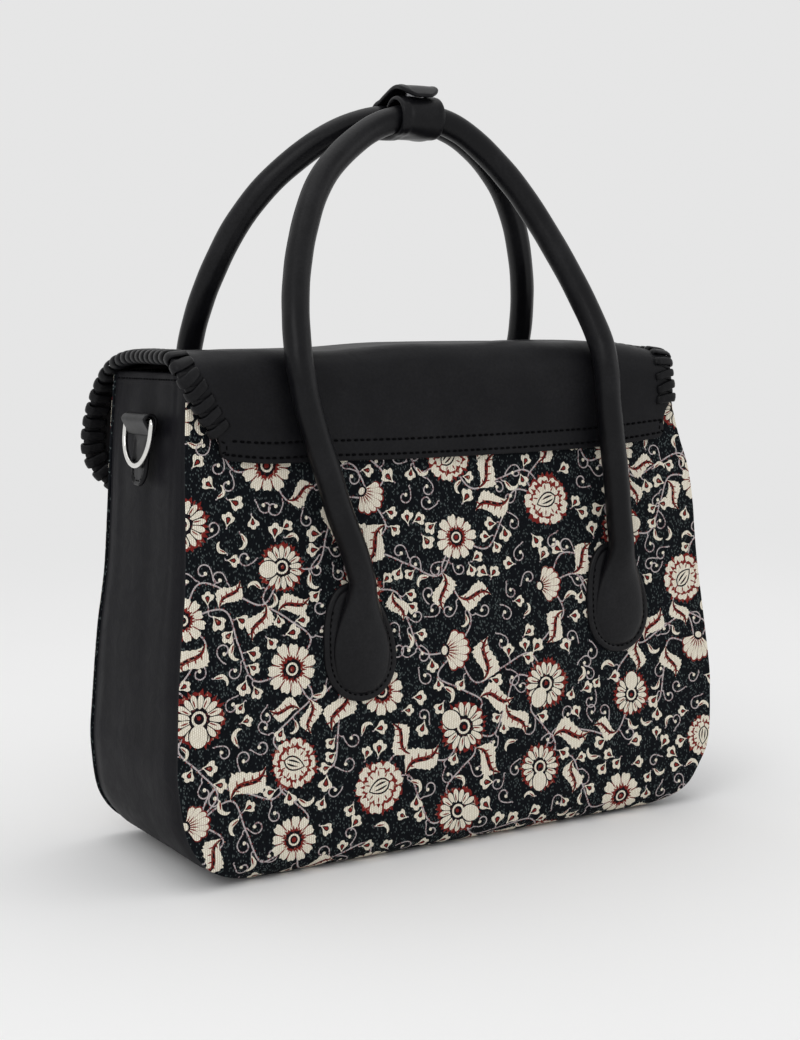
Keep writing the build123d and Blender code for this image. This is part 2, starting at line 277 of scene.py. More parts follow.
class Draft:
    """Points and faces of one piece, gathered before they become a mesh."""

    def __init__(self, name: str) -> None:
        """Starts an empty piece with its name.

        Args:
            name: Name of the piece.
        """
        self.name = name
        self.points: list[Array] = []
        self.faces: list[tuple[int, ...]] = []
        self.marks: list[int] = []
        self.flats: list[Array] = []
        self.count = 0

    def add(self, points: Array, faces: Sequence[Sequence[int]], mark: int | Sequence[int] = 0,
            flat: Array | None = None) -> None:
        """Adds points and the faces between them.

        Args:
            points: New points, in millimetres.
            faces: Faces by the numbers of the new points.
            mark: Number of the finish, for all faces or for each.
            flat: Places of the points in the flat pattern, where the finish needs them.
        """
        points = np.asarray(points, float).reshape(-1, 3)
        self.points.append(points)
        self.flats.append(np.zeros((len(points), 2)) if flat is None else np.asarray(flat, float))
        self.faces.extend(tuple(int(i) + self.count for i in f) for f in faces)
        self.marks.extend([mark] * len(faces) if isinstance(mark, int) else [int(m) for m in mark])
        self.count += len(points)

    def skin(self, rows: Array, mark: int = 0, wrap: bool = False) -> None:
        """Adds a grid of points as a skin of four-sided faces.

        Args:
            rows: Points in rows and columns.
            mark: Number of the finish.
            wrap: Whether the last column joins the first.
        """
        n, m = rows.shape[:2]
        i, j = np.meshgrid(np.arange(n - 1), np.arange(m if wrap else m - 1), indexing="ij")
        k = (j + 1) % m
        faces = np.stack([i * m + j, i * m + k, (i + 1) * m + k, (i + 1) * m + j], -1).reshape(-1, 4)
        self.add(rows.reshape(-1, 3), faces.tolist(), mark)

    def tube(self, rings: Array, mark: int = 0, loop: bool = False) -> None:
        """Adds rings of points as a closed tube.

        Args:
            rings: Rings of points, in order along the tube.
            mark: Number of the finish.
            loop: Whether the last ring joins the first.
        """
        if loop:
            rings = np.concatenate([rings, rings[:1]])
        self.skin(rings, mark, wrap=True)
        if not loop:
            m = rings.shape[1]
            first = self.count - rings.shape[0] * m
            last = self.count - m
            self.faces.append(tuple(range(first + m - 1, first - 1, -1)))
            self.faces.append(tuple(range(last, last + m)))
            self.marks.extend([mark, mark])

    def sheet(self, place: Callable[[Array, Array, Array], Array], across: Callable[[Array], tuple[Array, Array]],
              rows: Array, columns: int, half: float, lift: Callable | None = None) -> None:
        """Adds a closed sheet with round edges.

        Args:
            place: Puts a flat place and a height into the bag.
            across: Gives the sheet's two side edges at each row.
            rows: Places of the rows, from one end of the sheet to the other.
            columns: Number of columns between the round edges.
            half: Half the sheet's thickness.
            lift: Extra height of the upper skin, where it isn't even.
        """
        low, high = across(rows)
        share = edge_rows(1.0, 1.0 / columns, half / float(np.median(high - low)))
        v = np.repeat(rows[:, None], len(share), 1)
        u = low[:, None] + (high - low)[:, None] * share
        gap = np.minimum(np.minimum(u - low[:, None], high[:, None] - u),
                         np.minimum(v - rows[0], rows[-1] - v))
        high_side = round_edge(gap, half)
        raised = high_side + (lift(u, v) * np.clip(gap / half, 0, 1) if lift else 0)
        self.skin(place(u, v, raised))
        self.skin(place(u, v, -high_side))

    def build(self, finishes: Sequence[bpy.types.Material], body: str = "bag", stands_for: Sequence[str] = (),
              slot: str = "leather", angle: float = 50.0) -> bpy.types.Object:
        """Makes the mesh, joins touching points and hands it to its body.

        Args:
            finishes: Materials by their numbers.
            body: Body that the piece rides on.
            stands_for: Nodes of the source that it replaces.
            slot: Not used.
            angle: Turn between faces, in degrees, above which an edge is sharp.

        Returns:
            The finished object.
        """
        mesh = bpy.data.meshes.new(self.name)
        mesh.from_pydata((np.vstack(self.points) * MM).tolist(), [], self.faces)
        mesh.polygons.foreach_set("material_index", self.marks)
        flat = np.vstack(self.flats) * MM
        if np.any(flat):
            layer = mesh.uv_layers.new(name="Flat")
            index = np.zeros(len(mesh.loops), np.int32)
            mesh.loops.foreach_get("vertex_index", index)
            layer.data.foreach_set("uv", flat[index].astype(np.float32).ravel())
        work = bmesh.new()
        work.from_mesh(mesh)
        bmesh.ops.remove_doubles(work, verts=work.verts, dist=MERGE)
        bmesh.ops.recalc_face_normals(work, faces=work.faces)
        work.to_mesh(mesh)
        work.free()
        mesh.polygons.foreach_set("use_smooth", [True] * len(mesh.polygons))
        mesh.set_sharp_from_angle(angle=math.radians(angle))
        for finish in finishes:
            mesh.materials.append(finish)
        made = shown(self.name, mesh)
        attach(made, body)
        if stands_for:
            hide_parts(*stands_for)
        LOG.info("%s: %d faces", self.name, len(mesh.polygons))
        return made


def ring_sections(line: Array, wide: Array, high: Array, toward: Array, sides: int = 24,
                  shape: Callable[[Array, Array], Array] | None = None) -> Array:
    """Sections round a line, with their height turned toward a direction.

    Args:
        line: Points of the line.
        wide: Half width of each section.
        high: Half height of each section.
        toward: Direction of the height, for all sections or for each.
        sides: Points in a section.
        shape: Share of the radius by angle and by point of the line, where it isn't 1.

    Returns:
        The sections, one ring of points each.
    """
    ahead = heading(line)
    toward = np.broadcast_to(toward, line.shape)
    up = unit(toward - np.sum(toward * ahead, 1)[:, None] * ahead)
    aside = np.cross(ahead, up)
    turn = full_turn(sides)[None, :]
    share = np.ones((len(line), sides)) if shape is None else shape(turn, np.arange(len(line))[:, None])
    a = np.broadcast_to(wide, len(line))[:, None] * np.cos(turn) * share
    b = np.broadcast_to(high, len(line))[:, None] * np.sin(turn) * share
    return line[:, None, :] + a[..., None] * aside[:, None, :] + b[..., None] * up[:, None, :]


def stitch_row(draft: Draft, line: Array, out: Array, length: float = 2.6, gap: float = 1.0,
               radius: float = 0.36) -> None:
    """Adds a row of thread stitches that lie half sunk along a line.

    Args:
        draft: Piece that takes the stitches.
        line: Points of the seam, on the surface.
        out: Direction out of the surface at each point.
        length: Length of a stitch.
        gap: Distance between two stitches.
        radius: Radius of the thread.
    """
    full = spaced(np.hstack([line, out]), STEP)
    pitch = length + gap
    for index in range(int(STEP * (len(full) - 1) / pitch)):
        first = int((index * pitch + gap / 2) / STEP)
        part = full[first:first + int(length / STEP) + 1]
        share = np.linspace(-1, 1, len(part))
        depth = radius * (0.35 - 0.9 * share**4)
        core = part[:, :3] + part[:, 3:] * depth[:, None]
        thick = radius * np.sqrt(np.clip(1.04 - share**6, 0.05, 1))
        draft.tube(ring_sections(core, thick, thick, part[:, 3:], 6), SEAM_AND_SHADOW)


def sewn(draft: Draft, place: Callable[..., Array], u: Array, v: Array, height: float, *stitch: float) -> None:
    """Adds stitches along a flat line of a sheet.

    Args:
        draft: Piece that takes the stitches.
        place: Puts a flat place and a height into the bag.
        u: Places of the line across.
        v: Places of the line along.
        height: Height of the sheet's face there.
        stitch: Length, gap and radius of the stitches, where they aren't the usual ones.
    """
    line, above = (place(u, v, np.full(len(u), h)) for h in (height, height + 1))
    stitch_row(draft, line, above - line, *stitch)


# Finishes

class Bench:
    """A material's nodes, with short calls that add and join them."""

    def __init__(self, name: str) -> None:
        """Starts a material of that name.

        Args:
            name: Name of the material.
        """
        self.material = bpy.data.materials.new(name)
        self.material.use_nodes = True
        self.tree = self.material.node_tree
        self.shader = self.tree.nodes["Principled BSDF"]

    def node(self, kind: str, inputs: dict | None = None, **settings: object) -> bpy.types.Node:
        """Adds a node.

        Args:
            kind: Blender's name of the node type.
            inputs: Values or sockets for its inputs, by name or number.
            settings: Properties of the node.

        Returns:
            The node.
        """
        made = self.tree.nodes.new(kind)
        for name, value in settings.items():
            setattr(made, name, value)
        for name, value in (inputs or {}).items():
            if isinstance(value, Socket):
                self.tree.links.new(value, made.inputs[name])
            else:
                made.inputs[name].default_value = value
        return made

    def sum(self, operation: str, first: object, second: object = 0.0, third: object = 0.0) -> Socket:
        """Adds a sum and gives its result."""
        return self.node("ShaderNodeMath", {0: first, 1: second, 2: third}, operation=operation).outputs[0]

    def times(self, first: object, second: object) -> Socket:
        """Adds a product and gives its result."""
        return self.sum("MULTIPLY", first, second)

    def plus(self, first: object, second: object, third: object) -> Socket:
        """Adds a product with a third value added to it."""
        return self.sum("MULTIPLY_ADD", first, second, third)

    def rest(self, share: object) -> Socket:
        """Adds what a share leaves of 1."""
        return self.sum("SUBTRACT", 1.0, share)

    def zigzag(self, value: object) -> Socket:
        """Adds a wave that falls from 1 to 0 and rises again over each whole number."""
        return self.sum("ABSOLUTE", self.plus(self.sum("FRACT", value), 2.0, -1.0))

    def place(self) -> Socket:
        """Adds the places on the piece, in metres."""
        return self.node("ShaderNodeTexCoord").outputs["Object"]

    def noise(self, place: Socket, scale: float, detail: float, **more: float) -> Socket:
        """Adds a noise over places and gives its value."""
        inputs = {"Vector": place, "Scale": scale, "Detail": detail, **more}
        return self.node("ShaderNodeTexNoise", inputs).outputs[0]

    def mixed(self, share: object, first: object, second: object) -> Socket:
        """Adds a mix of two colours and gives its result."""
        return self.node("ShaderNodeMix", {0: share, 6: first, 7: second}, data_type="RGBA").outputs[2]

    def spread(self, value: object, low: float, high: float, new_low: float, new_high: float) -> Socket:
        """Adds a change of range and gives its result."""
        return self.node("ShaderNodeMapRange", {0: value, 1: low, 2: high, 3: new_low, 4: new_high}).outputs[0]

    def relief(self, height: object, depth: float, strength: float = 1.0) -> None:
        """Lets a height shape the shader's surface, in millimetres."""
        bump = self.node("ShaderNodeBump", {"Strength": strength, "Distance": depth * MM, "Height": height})
        self.join(bump.outputs[0], "Normal")

    def join(self, socket: Socket, name: str) -> None:
        """Joins a socket to one of the shader's inputs."""
        self.tree.links.new(socket, self.shader.inputs[name])

    def fixed(self, **values: object) -> None:
        """Sets inputs of the shader that are the same all over, with _ for a space in the name."""
        for name, value in values.items():
            self.shader.inputs[name.replace("_", " ")].default_value = value

    def surface(self, colour: Socket, rough: Socket, gloss: float) -> bpy.types.Material:
        """Joins colour and roughness, sets the gloss and gives the material.

        Args:
            colour: Colour from the nodes.
            rough: Roughness from the nodes.
            gloss: Level of its shine.

        Returns:
            The finished material.
        """
        self.join(colour, "Base Color")
        self.join(rough, "Roughness")
        self.fixed(Specular_IOR_Level=gloss)
        return self.material


@dataclass(frozen=True)
class Leather:
    """A coated black leather with a fine grain, soft unevenness and lightly rubbed places."""

    name: str
    colour: Colour = (0.0052, 0.0052, 0.0064, 1)
    rubbed: Colour = (0.0105, 0.0105, 0.0120, 1)
    roughness: tuple[float, float] = (0.40, 0.54)
    grain: float = 0.9
    depth: float = 0.05
    creases: float = 0.10
    gloss: float = 0.12

    def material(self) -> bpy.types.Material:
        """Builds the leather's nodes and gives the material.

        Returns:
            The leather.
        """
        bench = Bench(self.name)
        place = bench.place()
        pores = bench.node("ShaderNodeTexVoronoi", {"Vector": place, "Scale": 1000 / self.grain, "Randomness": 1.0},
                           feature="SMOOTH_F1").outputs["Distance"]
        fine = bench.noise(place, 700.0, 3.0)
        broad = bench.noise(place, 26.0, 4.0, Roughness=0.6)
        folds = bench.noise(place, 90.0, 5.0, Distortion=1.2)
        height = bench.plus(pores, 0.7, bench.times(fine, 0.5))
        bench.relief(bench.plus(folds, self.creases / self.depth, height), self.depth)
        worn = bench.times(broad, bench.spread(fine, 0.3, 0.7, 0.8, 1.2))
        colour = bench.mixed(bench.spread(worn, 0.40, 0.75, 0.0, 1.0), self.colour, self.rubbed)
        rough = bench.spread(bench.plus(folds, 0.5, bench.times(broad, 0.5)), 0.3, 0.7, *self.roughness)
        return bench.surface(colour, rough, self.gloss)


@dataclass(frozen=True)
class Yarn:
    """One colour of the woven cloth: rows of small chain stitches with uneven thread, and painted shade in the
    grooves between them.
    """

    name: str
    colour: Colour
    groove_shade: Colour
    fleck: Colour = (0, 0, 0, 1)
    flecks: float = 0.0
    rib: float = 1.05
    chain: float = 1.25
    slope: float = 0.55
    depth: float = 0.32
    uneven: float = 0.25

    def material(self) -> bpy.types.Material:
        """Builds the yarn's nodes and gives the material.

        Returns:
            The yarn.
        """
        bench = Bench(self.name)
        flat = bench.node("ShaderNodeUVMap", uv_map="Flat").outputs[0]
        wobble = bench.node("ShaderNodeTexNoise", {"Vector": flat, "Scale": 220.0, "Detail": 1.0}).outputs["Color"]
        drift = bench.node("ShaderNodeVectorMath", {0: wobble, 1: (0.00045, 0.00045, 0)}, operation="MULTIPLY")
        moved = bench.node("ShaderNodeVectorMath", {0: flat, 1: drift.outputs[0]}, operation="ADD")
        parts = bench.node("ShaderNodeSeparateXYZ", {0: moved.outputs[0]})
        column = bench.times(parts.outputs[0], 1000 / self.rib)
        beside = bench.zigzag(column)
        run = bench.plus(parts.outputs[1], 1000 / self.chain, bench.times(beside, self.slope))
        shifted = bench.plus(bench.sum("FLOOR", column), 0.37, run)
        crown = bench.rest(bench.sum("POWER", beside, 2.2))
        swell = bench.rest(bench.sum("POWER", bench.zigzag(shifted), 2.5))
        height = bench.times(crown, bench.plus(swell, 0.6, 0.4))
        cell = bench.node("ShaderNodeCombineXYZ", {0: bench.sum("FLOOR", column), 1: bench.sum("FLOOR", shifted)})
        chance = bench.node("ShaderNodeTexWhiteNoise", {"Vector": cell.outputs[0]}, noise_dimensions="2D")
        # Painted shade: the colour falls toward the groove colour where the stitch relief is low, and also varies at
        # random from stitch to stitch.
        cut = bench.plus(bench.rest(height), 0.72, bench.times(chance.outputs[0], self.uneven))
        colour = bench.mixed(cut, self.colour, self.groove_shade)
        if self.flecks:
            seen = bench.sum("GREATER_THAN", chance.outputs[0], 1 - self.flecks)
            colour = bench.mixed(bench.times(seen, height), colour, self.fleck)
        fuzz = bench.noise(flat, 2600.0, 2.0)
        bench.relief(bench.plus(fuzz, 0.35, height), self.depth)
        return bench.surface(colour, bench.spread(fuzz, 0.3, 0.7, 0.78, 0.95), 0.06)


@dataclass(frozen=True)
class Metal:
    """A plated metal with faint wear."""

    name: str
    colour: Colour = (0.80, 0.79, 0.76, 1)
    roughness: tuple[float, float] = (0.10, 0.22)

    def material(self) -> bpy.types.Material:
        """Builds the metal's nodes and gives the material.

        Returns:
            The metal.
        """
        bench = Bench(self.name)
        place = bench.place()
        haze = bench.noise(place, 160.0, 6.0)
        bench.join(bench.spread(haze, 0.35, 0.7, *self.roughness), "Roughness")
        dull = tuple(0.82 * c for c in self.colour[:3]) + (1,)
        bench.join(bench.mixed(bench.spread(haze, 0.45, 0.75, 0.0, 0.6), self.colour, dull), "Base Color")
        bench.relief(bench.noise(place, 1500.0, 2.0), 0.01, 0.4)
        bench.fixed(Metallic=1.0)
        return bench.material


@dataclass(frozen=True)
class Cloth:
    """A plain woven cloth or a fibre board, seen only in the gaps, with painted shade in the low places of its
    weave.
    """

    name: str
    colour: Colour
    groove_shade: Colour
    thread: float = 0.5

    def material(self) -> bpy.types.Material:
        """Builds the cloth's nodes and gives the material.

        Returns:
            The cloth.
        """
        bench = Bench(self.name)
        place = bench.place()
        warp = bench.node("ShaderNodeTexWave", {"Vector": place, "Scale": 160 / self.thread, "Distortion": 0.6},
                          bands_direction="DIAGONAL").outputs["Fac"]
        fibre = bench.noise(place, 900.0, 4.0)
        height = bench.plus(fibre, 0.6, warp)
        bench.relief(height, 0.08)
        # Painted shade: the colour falls toward the shade colour where the weave's relief is low, along with the
        # fibres' own tone.
        colour = bench.mixed(bench.spread(height, 0.2, 1.3, 0.0, 1.0), self.groove_shade, self.colour)
        return bench.surface(colour, bench.spread(fibre, 0.3, 0.7, 0.75, 0.92), 0.12)


class Thread(IntEnum):
    """Yarn colours of the print, in the order of a panel's materials."""

    GROUND = 0
    CREAM = 1
    RED = 2
    DARK = 3
    VINE = 4


class Finishes:
    """All finishes of the bag, made once."""

    def __init__(self) -> None:
        """Makes the materials."""
        self.flap = Leather("flap_leather", depth=0.045, creases=0.14, gloss=0.125).material()
        self.side = Leather("gusset_leather", (0.0064, 0.0062, 0.0082, 1), creases=0.12, gloss=0.036).material()
        self.handle = Leather("handle_leather", (0.0040, 0.0040, 0.0050, 1), roughness=(0.29, 0.42),
                              gloss=0.17).material()
        self.lace = Leather("lace_leather", (0.0042, 0.0042, 0.0050, 1), roughness=(0.34, 0.48), grain=0.7,
                            gloss=0.14).material()
        self.facing = Leather("facing_suede", (0.012, 0.011, 0.011, 1), roughness=(0.7, 0.85), grain=0.5,
                              gloss=0.06).material()
        # Painted slit shadow: a near-black finish used only for the dark patches at the lace's slits.
        self.edge = Leather("painted_slit_shadow", (0.003, 0.003, 0.0035, 1), roughness=(0.55, 0.7), gloss=0.05).material()
        # Black thread, set darker than the leather so that the stitches also carry the painted shade of their
        # grooves.
        self.thread = Leather("sewing_thread_and_shade", (0.0016, 0.0016, 0.0020, 1), (0.0035, 0.0035, 0.004, 1),
                              roughness=(0.6, 0.8), grain=0.35, gloss=0.03).material()
        # Lining and board: the second colour is painted shade in the low places of the weave.
        self.lining = Cloth("lining_twill", (0.030, 0.030, 0.036, 1), (0.014, 0.014, 0.018, 1)).material()
        self.board = Cloth("fibre_board", (0.24, 0.21, 0.17, 1), (0.15, 0.13, 0.10, 1), 1.2).material()
        self.nickel = Metal("polished_nickel").material()
        self.snap = Metal("snap_metal", (0.30, 0.30, 0.31, 1), (0.25, 0.4)).material()
        # The second colour of each yarn is the painted shade in the grooves between its stitches.
        yarns = [
            Yarn("ground_yarn", (0.0085, 0.0105, 0.0135, 1), (0.0025, 0.0032, 0.0045, 1), (0.105, 0.130, 0.130, 1),
                 0.13, 0.72, 0.70, 1.0, 0.22, 0.5),
            Yarn("cream_yarn", (1.0, 0.96, 0.84, 1), (0.50, 0.41, 0.28, 1), uneven=0.16),
            Yarn("red_yarn", (0.30, 0.030, 0.024, 1), (0.085, 0.011, 0.011, 1), (0.50, 0.28, 0.20, 1), 0.1,
                 0.8, 0.9),
            Yarn("dark_yarn", (0.012, 0.010, 0.013, 1), (0.004, 0.004, 0.006, 1), (0.14, 0.03, 0.03, 1), 0.1,
                 0.8, 0.9),
            Yarn("vine_yarn", (0.70, 0.65, 0.64, 1), (0.26, 0.19, 0.21, 1), (0.17, 0.05, 0.06, 1), 0.16, 0.8, 0.9),
        ]
        self.weave = [yarn.material() for yarn in yarns]


# Shape of the bag

@dataclass
class BagForm:
    """Outside shape of the bag that its panels and gussets share."""

    rim: float = 254.0
    top_depth: float = 100.0
    roll: float = 16.0
    slope: float = 0.0630252
    panel: float = 2.5
    left_side: Sequence[Sequence[float]] = (
        (0, 114), (0.6, 121), (2, 128.5), (5, 138), (11, 148.2), (22, 156.2), (32, 159.6), (47, 161.4),
        (60, 161.9), (75, 160.8), (97, 159), (118, 156.8), (136, 154.2), (150, 152.4), (175, 150.6),
        (193, 149.6), (215, 148.4), (241, 146.4), (254, 145),
    )
    right_side: Sequence[Sequence[float]] = (
        (0, 114), (0.6, 121), (2, 128.5), (5, 137.5), (11, 146.5), (22, 155.2), (32, 161.6), (44, 164.4),
        (65, 165.9), (77, 166.1), (97, 164.4), (118, 162.4), (138, 160.2), (155, 159.3), (172, 159.0),
        (192, 156.6), (207, 152.2), (222, 148.8), (241, 146.2), (254, 145),
    )

    def __post_init__(self) -> None:
        """Works out the values that follow from the sizes."""
        self.lean = math.atan(self.slope)
        self.flat_y = self.wall(0) - self.roll / math.tan((math.pi / 2 - self.lean) / 2)
        self.turn = math.pi / 2 + self.lean
        self.wall_run = (self.rim - self.roll * (1 + math.sin(self.lean))) / math.cos(self.lean)
        self.run = self.wall_run + self.roll * self.turn
        self.sides = {-1: table(self.left_side), 1: table(self.right_side)}

    def wall(self, z: float | Array) -> float | Array:
        """Half depth of the leaning wall at a height."""
        return self.top_depth / 2 + (self.rim - z) * self.slope

    def profile(self, v: Array) -> tuple[Array, Array, Array, Array]:
        """The side line from the rim down and round the roll.

        Args:
            v: Length gone from the rim.

        Returns:
            Depth, height and both parts of the outward direction.
        """
        v = np.asarray(v, float)
        high = self.rim - v * math.cos(self.lean)
        turn = self.lean - (v - self.wall_run) / self.roll
        on_roll = v > self.wall_run
        turn = np.where(on_roll, turn, self.lean)
        y = np.where(on_roll, self.flat_y + self.roll * np.cos(turn), self.wall(high))
        z = np.where(on_roll, self.roll * (1 + np.sin(turn)), high)
        return y, z, np.cos(turn), np.sin(turn)

    def sag(self, x: Array, z: Array) -> Array:
        """How far the rim hangs down near the right corner."""
        return 4.5 * eased(112, 146, x) * eased(196, 252, z)

    def fullness(self, side: int, x: Array, z: Array) -> Array:
        """How far the cloth stands out of the flat wall, in millimetres.

        Args:
            side: -1 for the back panel and 1 for the front one.
            x: Place across.
            z: Height in the bag.

        Returns:
            The distances.
        """
        across = np.cos(np.clip(x / 163, -1, 1) * math.pi / 2)
        up = eased(6, 60, z) * (1 - eased(150, 203, z))
        waves = 0.55 * np.sin(x / 29 + z / 71 + side) + 0.4 * np.sin(z / 24 - x / 47 + 2 * side)
        puckers = 0.35 * np.sin(z / 9.5 + x / 31) * eased(95, 150, np.abs(x))
        return up * (2.0 * across**0.7 + waves * across**0.5 + puckers * across**0.3)

    def on_panel(self, side: int, x: Array, v: Array, n: Array) -> Array:
        """A place on or above a panel's outer face.

        Args:
            side: -1 for the back panel and 1 for the front one.
            x: Place across.
            v: Length gone from the rim.
            n: Height above the face.

        Returns:
            The points in the bag.
        """
        y, z, ny, nz = self.profile(v)
        out = n + self.fullness(side, x, z)
        return np.stack(np.broadcast_arrays(x, side * (y + ny * out), z + nz * out - self.sag(x, z)), -1)

    def on_wall(self, side: int, x: Array, z: Array, n: Array) -> Array:
        """A place above a panel's leaning wall, by its height z."""
        return self.on_panel(side, x, (self.rim - np.asarray(z, float)) / math.cos(self.lean), n)


# The woven print

class Layer(IntEnum):
    """Lowest layer of each kind of motif; a motif's later shapes lie above its first."""

    STEM = 1
    DOT = 3
    SMALL = 10
    LEAF = 40
    FLOWER = 60


@dataclass
class Patch:
    """One coloured shape of the print, counter-clockwise, with its layer."""

    outline: Array
    thread: Thread
    layer: int


class Bloom(Enum):
    """Kinds of flower heads in the print."""

    DAISY = "daisy"
    ROSETTE = "rosette"
    PINWHEEL = "pinwheel"
    TULIP = "tulip"


class VinePrint:
    """A trailing vine print of the old kind, laid out anew from a seed."""

    def __init__(self, seed: int, width: float = 350.0, length: float = 270.0) -> None:
        """Lays out the print for a panel of that size.

        Args:
            seed: Number that the layout grows from.
            width: Width of the panel.
            length: Length of the panel.
        """
        self.chance = random.Random(seed)
        self.width, self.length = width, length
        self.patches: list[Patch] = []
        self.taken: list[tuple[float, float, float]] = []
        self.lay_out()

    def polar(self, radius: Array, turn: Array) -> Array:
        """Points at radii and angles."""
        return np.stack([radius * np.cos(turn), radius * np.sin(turn)], 1)

    def scallops(self, size: float, petals: int, notch: float, per: int = 9) -> Array:
        """Outline of round petals with narrow notches between them.

        Args:
            size: Size of the motif, from its middle out.
            petals: Number of petals.
            notch: Depth of the notches, as a share.
            per: Points for each petal.

        Returns:
            The outline.
        """
        turn = full_turn(petals * per)
        off = np.abs((turn * petals / (2 * math.pi)) % 1 - 0.5) * 2
        petal = np.floor(turn * petals / (2 * math.pi)).astype(int)
        grown = np.array([self.chance.uniform(0.93, 1.05) for _ in range(petals)])[petal]
        worn = np.array([self.chance.uniform(0.978, 1.022) for _ in turn])
        return self.polar(size * grown * worn * (1 - notch * off**5 - 0.06 * np.exp(-((off / 0.2) ** 2))), turn)

    def ragged(self, size: float, points: int, depth: float) -> Array:
        """Outline of a ring with uneven short points.

        Args:
            size: Size of the motif, from its middle out.
            points: Number of points.
            depth: Depth between them, as a share.

        Returns:
            The outline.
        """
        turn = full_turn(points * 2)
        grown = np.array([(1 if k % 2 else 1 - depth) * self.chance.uniform(0.9, 1.1) for k in range(points * 2)])
        return self.polar(size * grown, turn)

    def oval(self, x: float, y: float, a: float, b: float, turn: float = 0.0, count: int = 14) -> Array:
        """Outline of an oval at a place.

        Args:
            x: Place across.
            y: Place down.
            a: Half length.
            b: Half width.
            turn: How far it is turned.
            count: Number of points.

        Returns:
            The outline.
        """
        t = full_turn(count)
        c, s = math.cos(turn), math.sin(turn)
        return np.stack([x + a * np.cos(t) * c - b * np.sin(t) * s, y + a * np.cos(t) * s + b * np.sin(t) * c], 1)

    def blade(self, x: float, y: float, length: float, width: float, turn: float, bow: float = 0.0) -> Array:
        """Outline of a pointed blade that starts at a place.

        Args:
            x: Place across.
            y: Place down.
            length: Its length.
            width: Its width.
            turn: Direction that it points in.
            bow: How far its middle bends aside.

        Returns:
            The outline.
        """
        t = np.linspace(0, 1, 7)
        half = width / 2 * np.sin(math.pi * t**0.8) ** 0.8
        mid = bow * np.sin(math.pi * t)
        upper = np.stack([t * length, mid + half], 1)
        lower = np.stack([t * length, mid - half], 1)[1:-1]
        return self.turned(np.vstack([lower, upper[::-1]]), turn) + np.array([x, y])

    def vein(self, reach: float, turn: float, length: float, width: float) -> Array:
        """Outline of a blade that points outward, a way off the middle."""
        return self.blade(reach * math.cos(turn), reach * math.sin(turn), length, width, turn)

    def side(self) -> int:
        """One side or the other, by chance."""
        return self.chance.choice([-1, 1])

    def turned(self, outline: Array, turn: float) -> Array:
        """The outline turned about its origin."""
        c, s = math.cos(turn), math.sin(turn)
        return outline @ np.array([[c, s], [-s, c]])

    def ribbon(self, line: Array, width: Array) -> Array:
        """Outline of a ribbon along a line.

        Args:
            line: Points of its middle line.
            width: Width, for the whole line or for each point.

        Returns:
            The outline.
        """
        ahead = np.gradient(line, axis=0)
        ahead /= np.linalg.norm(ahead, axis=1)[:, None] + 1e-9
        aside = np.stack([-ahead[:, 1], ahead[:, 0]], 1) * np.broadcast_to(width, len(line))[:, None] / 2
        return np.vstack([line - aside, (line + aside)[::-1]])

    def put(self, shapes: Sequence[tuple[Array, Thread]], at: Array, turn: float, layer: int,
            flip: bool = False) -> None:
        """Places a motif's shapes in the print.

        Args:
            shapes: Outlines and their threads, the lowest first.
            at: Place of the motif.
            turn: How far it is turned.
            layer: Layer of its lowest shape.
            flip: Whether it is mirrored first.
        """
        for step, (outline, thread) in enumerate(shapes):
            moved = outline * np.array([1, -1]) if flip else outline
            moved = self.turned(moved, turn) + at
            x, y = moved[:, 0], moved[:, 1]
            if np.sum(x * np.roll(y, -1) - np.roll(x, -1) * y) < 0:
                moved = moved[::-1]
            self.patches.append(Patch(moved, thread, layer + step))

    def free(self, x: float, y: float, radius: float) -> bool:
        """Whether a round place is still empty."""
        return all(math.hypot(x - a, y - b) > radius + r for a, b, r in self.taken)

    def take(self, x: float, y: float, radius: float) -> None:
        """Marks a round place as used."""
        self.taken.append((x, y, radius))

    def daisy(self, size: float) -> list[tuple[Array, Thread]]:
        """A flat flower with round petals, a ragged red ring and a dark eye.

        Args:
            size: Size of the motif, from its middle out.

        Returns:
            The outlines and their threads, the lowest first.
        """
        petals = self.chance.choice([10, 11, 12])
        shapes = [(self.scallops(size, petals, 0.36), Thread.CREAM)]
        for k in range(petals):
            shapes.append((self.vein(0.46 * size, 2 * math.pi * k / petals, 0.42 * size, 0.055 * size), Thread.RED))
        return shapes + [
            (self.ragged(0.56 * size, petals * 2, 0.24), Thread.RED),
            (self.ragged(0.40 * size, petals, 0.14), Thread.DARK),
            (self.oval(0, 0, 0.25 * size, 0.25 * size), Thread.CREAM),
            (self.oval(0, 0, 0.17 * size, 0.17 * size), Thread.DARK),
            (self.oval(0, 0, 0.10 * size, 0.10 * size, 0, 8), Thread.RED),
        ]

    def rosette(self, size: float) -> list[tuple[Array, Thread]]:
        """A round scalloped flower with a red ring and a slit bud in its heart.

        Args:
            size: Size of the motif, from its middle out.

        Returns:
            The outlines and their threads, the lowest first.
        """
        shapes = [
            (self.ragged(1.06 * size, 30, 0.10), Thread.RED),
            (self.scallops(size, 9, 0.24), Thread.CREAM),
            (self.ragged(0.80 * size, 24, 0.14), Thread.RED),
            (self.scallops(0.66 * size, 8, 0.20, 7), Thread.CREAM),
            (self.blade(-0.50 * size, 0, 1.0 * size, 0.62 * size, 0), Thread.DARK),
            (self.blade(-0.43 * size, 0, 0.86 * size, 0.48 * size, 0), Thread.CREAM),
        ]
        for off, long in ((-0.07, 0.62), (0.07, 0.55)):
            slit = self.blade(-0.34 * size, off * size, long * size, 0.08 * size, 0, off * 0.4 * size)
            shapes.append((slit, Thread.DARK))
        for turn in np.linspace(0.5, 5.8, 9):
            shapes.append((self.vein(0.40 * size, turn, 0.24 * size, 0.06 * size), Thread.RED))
        return shapes

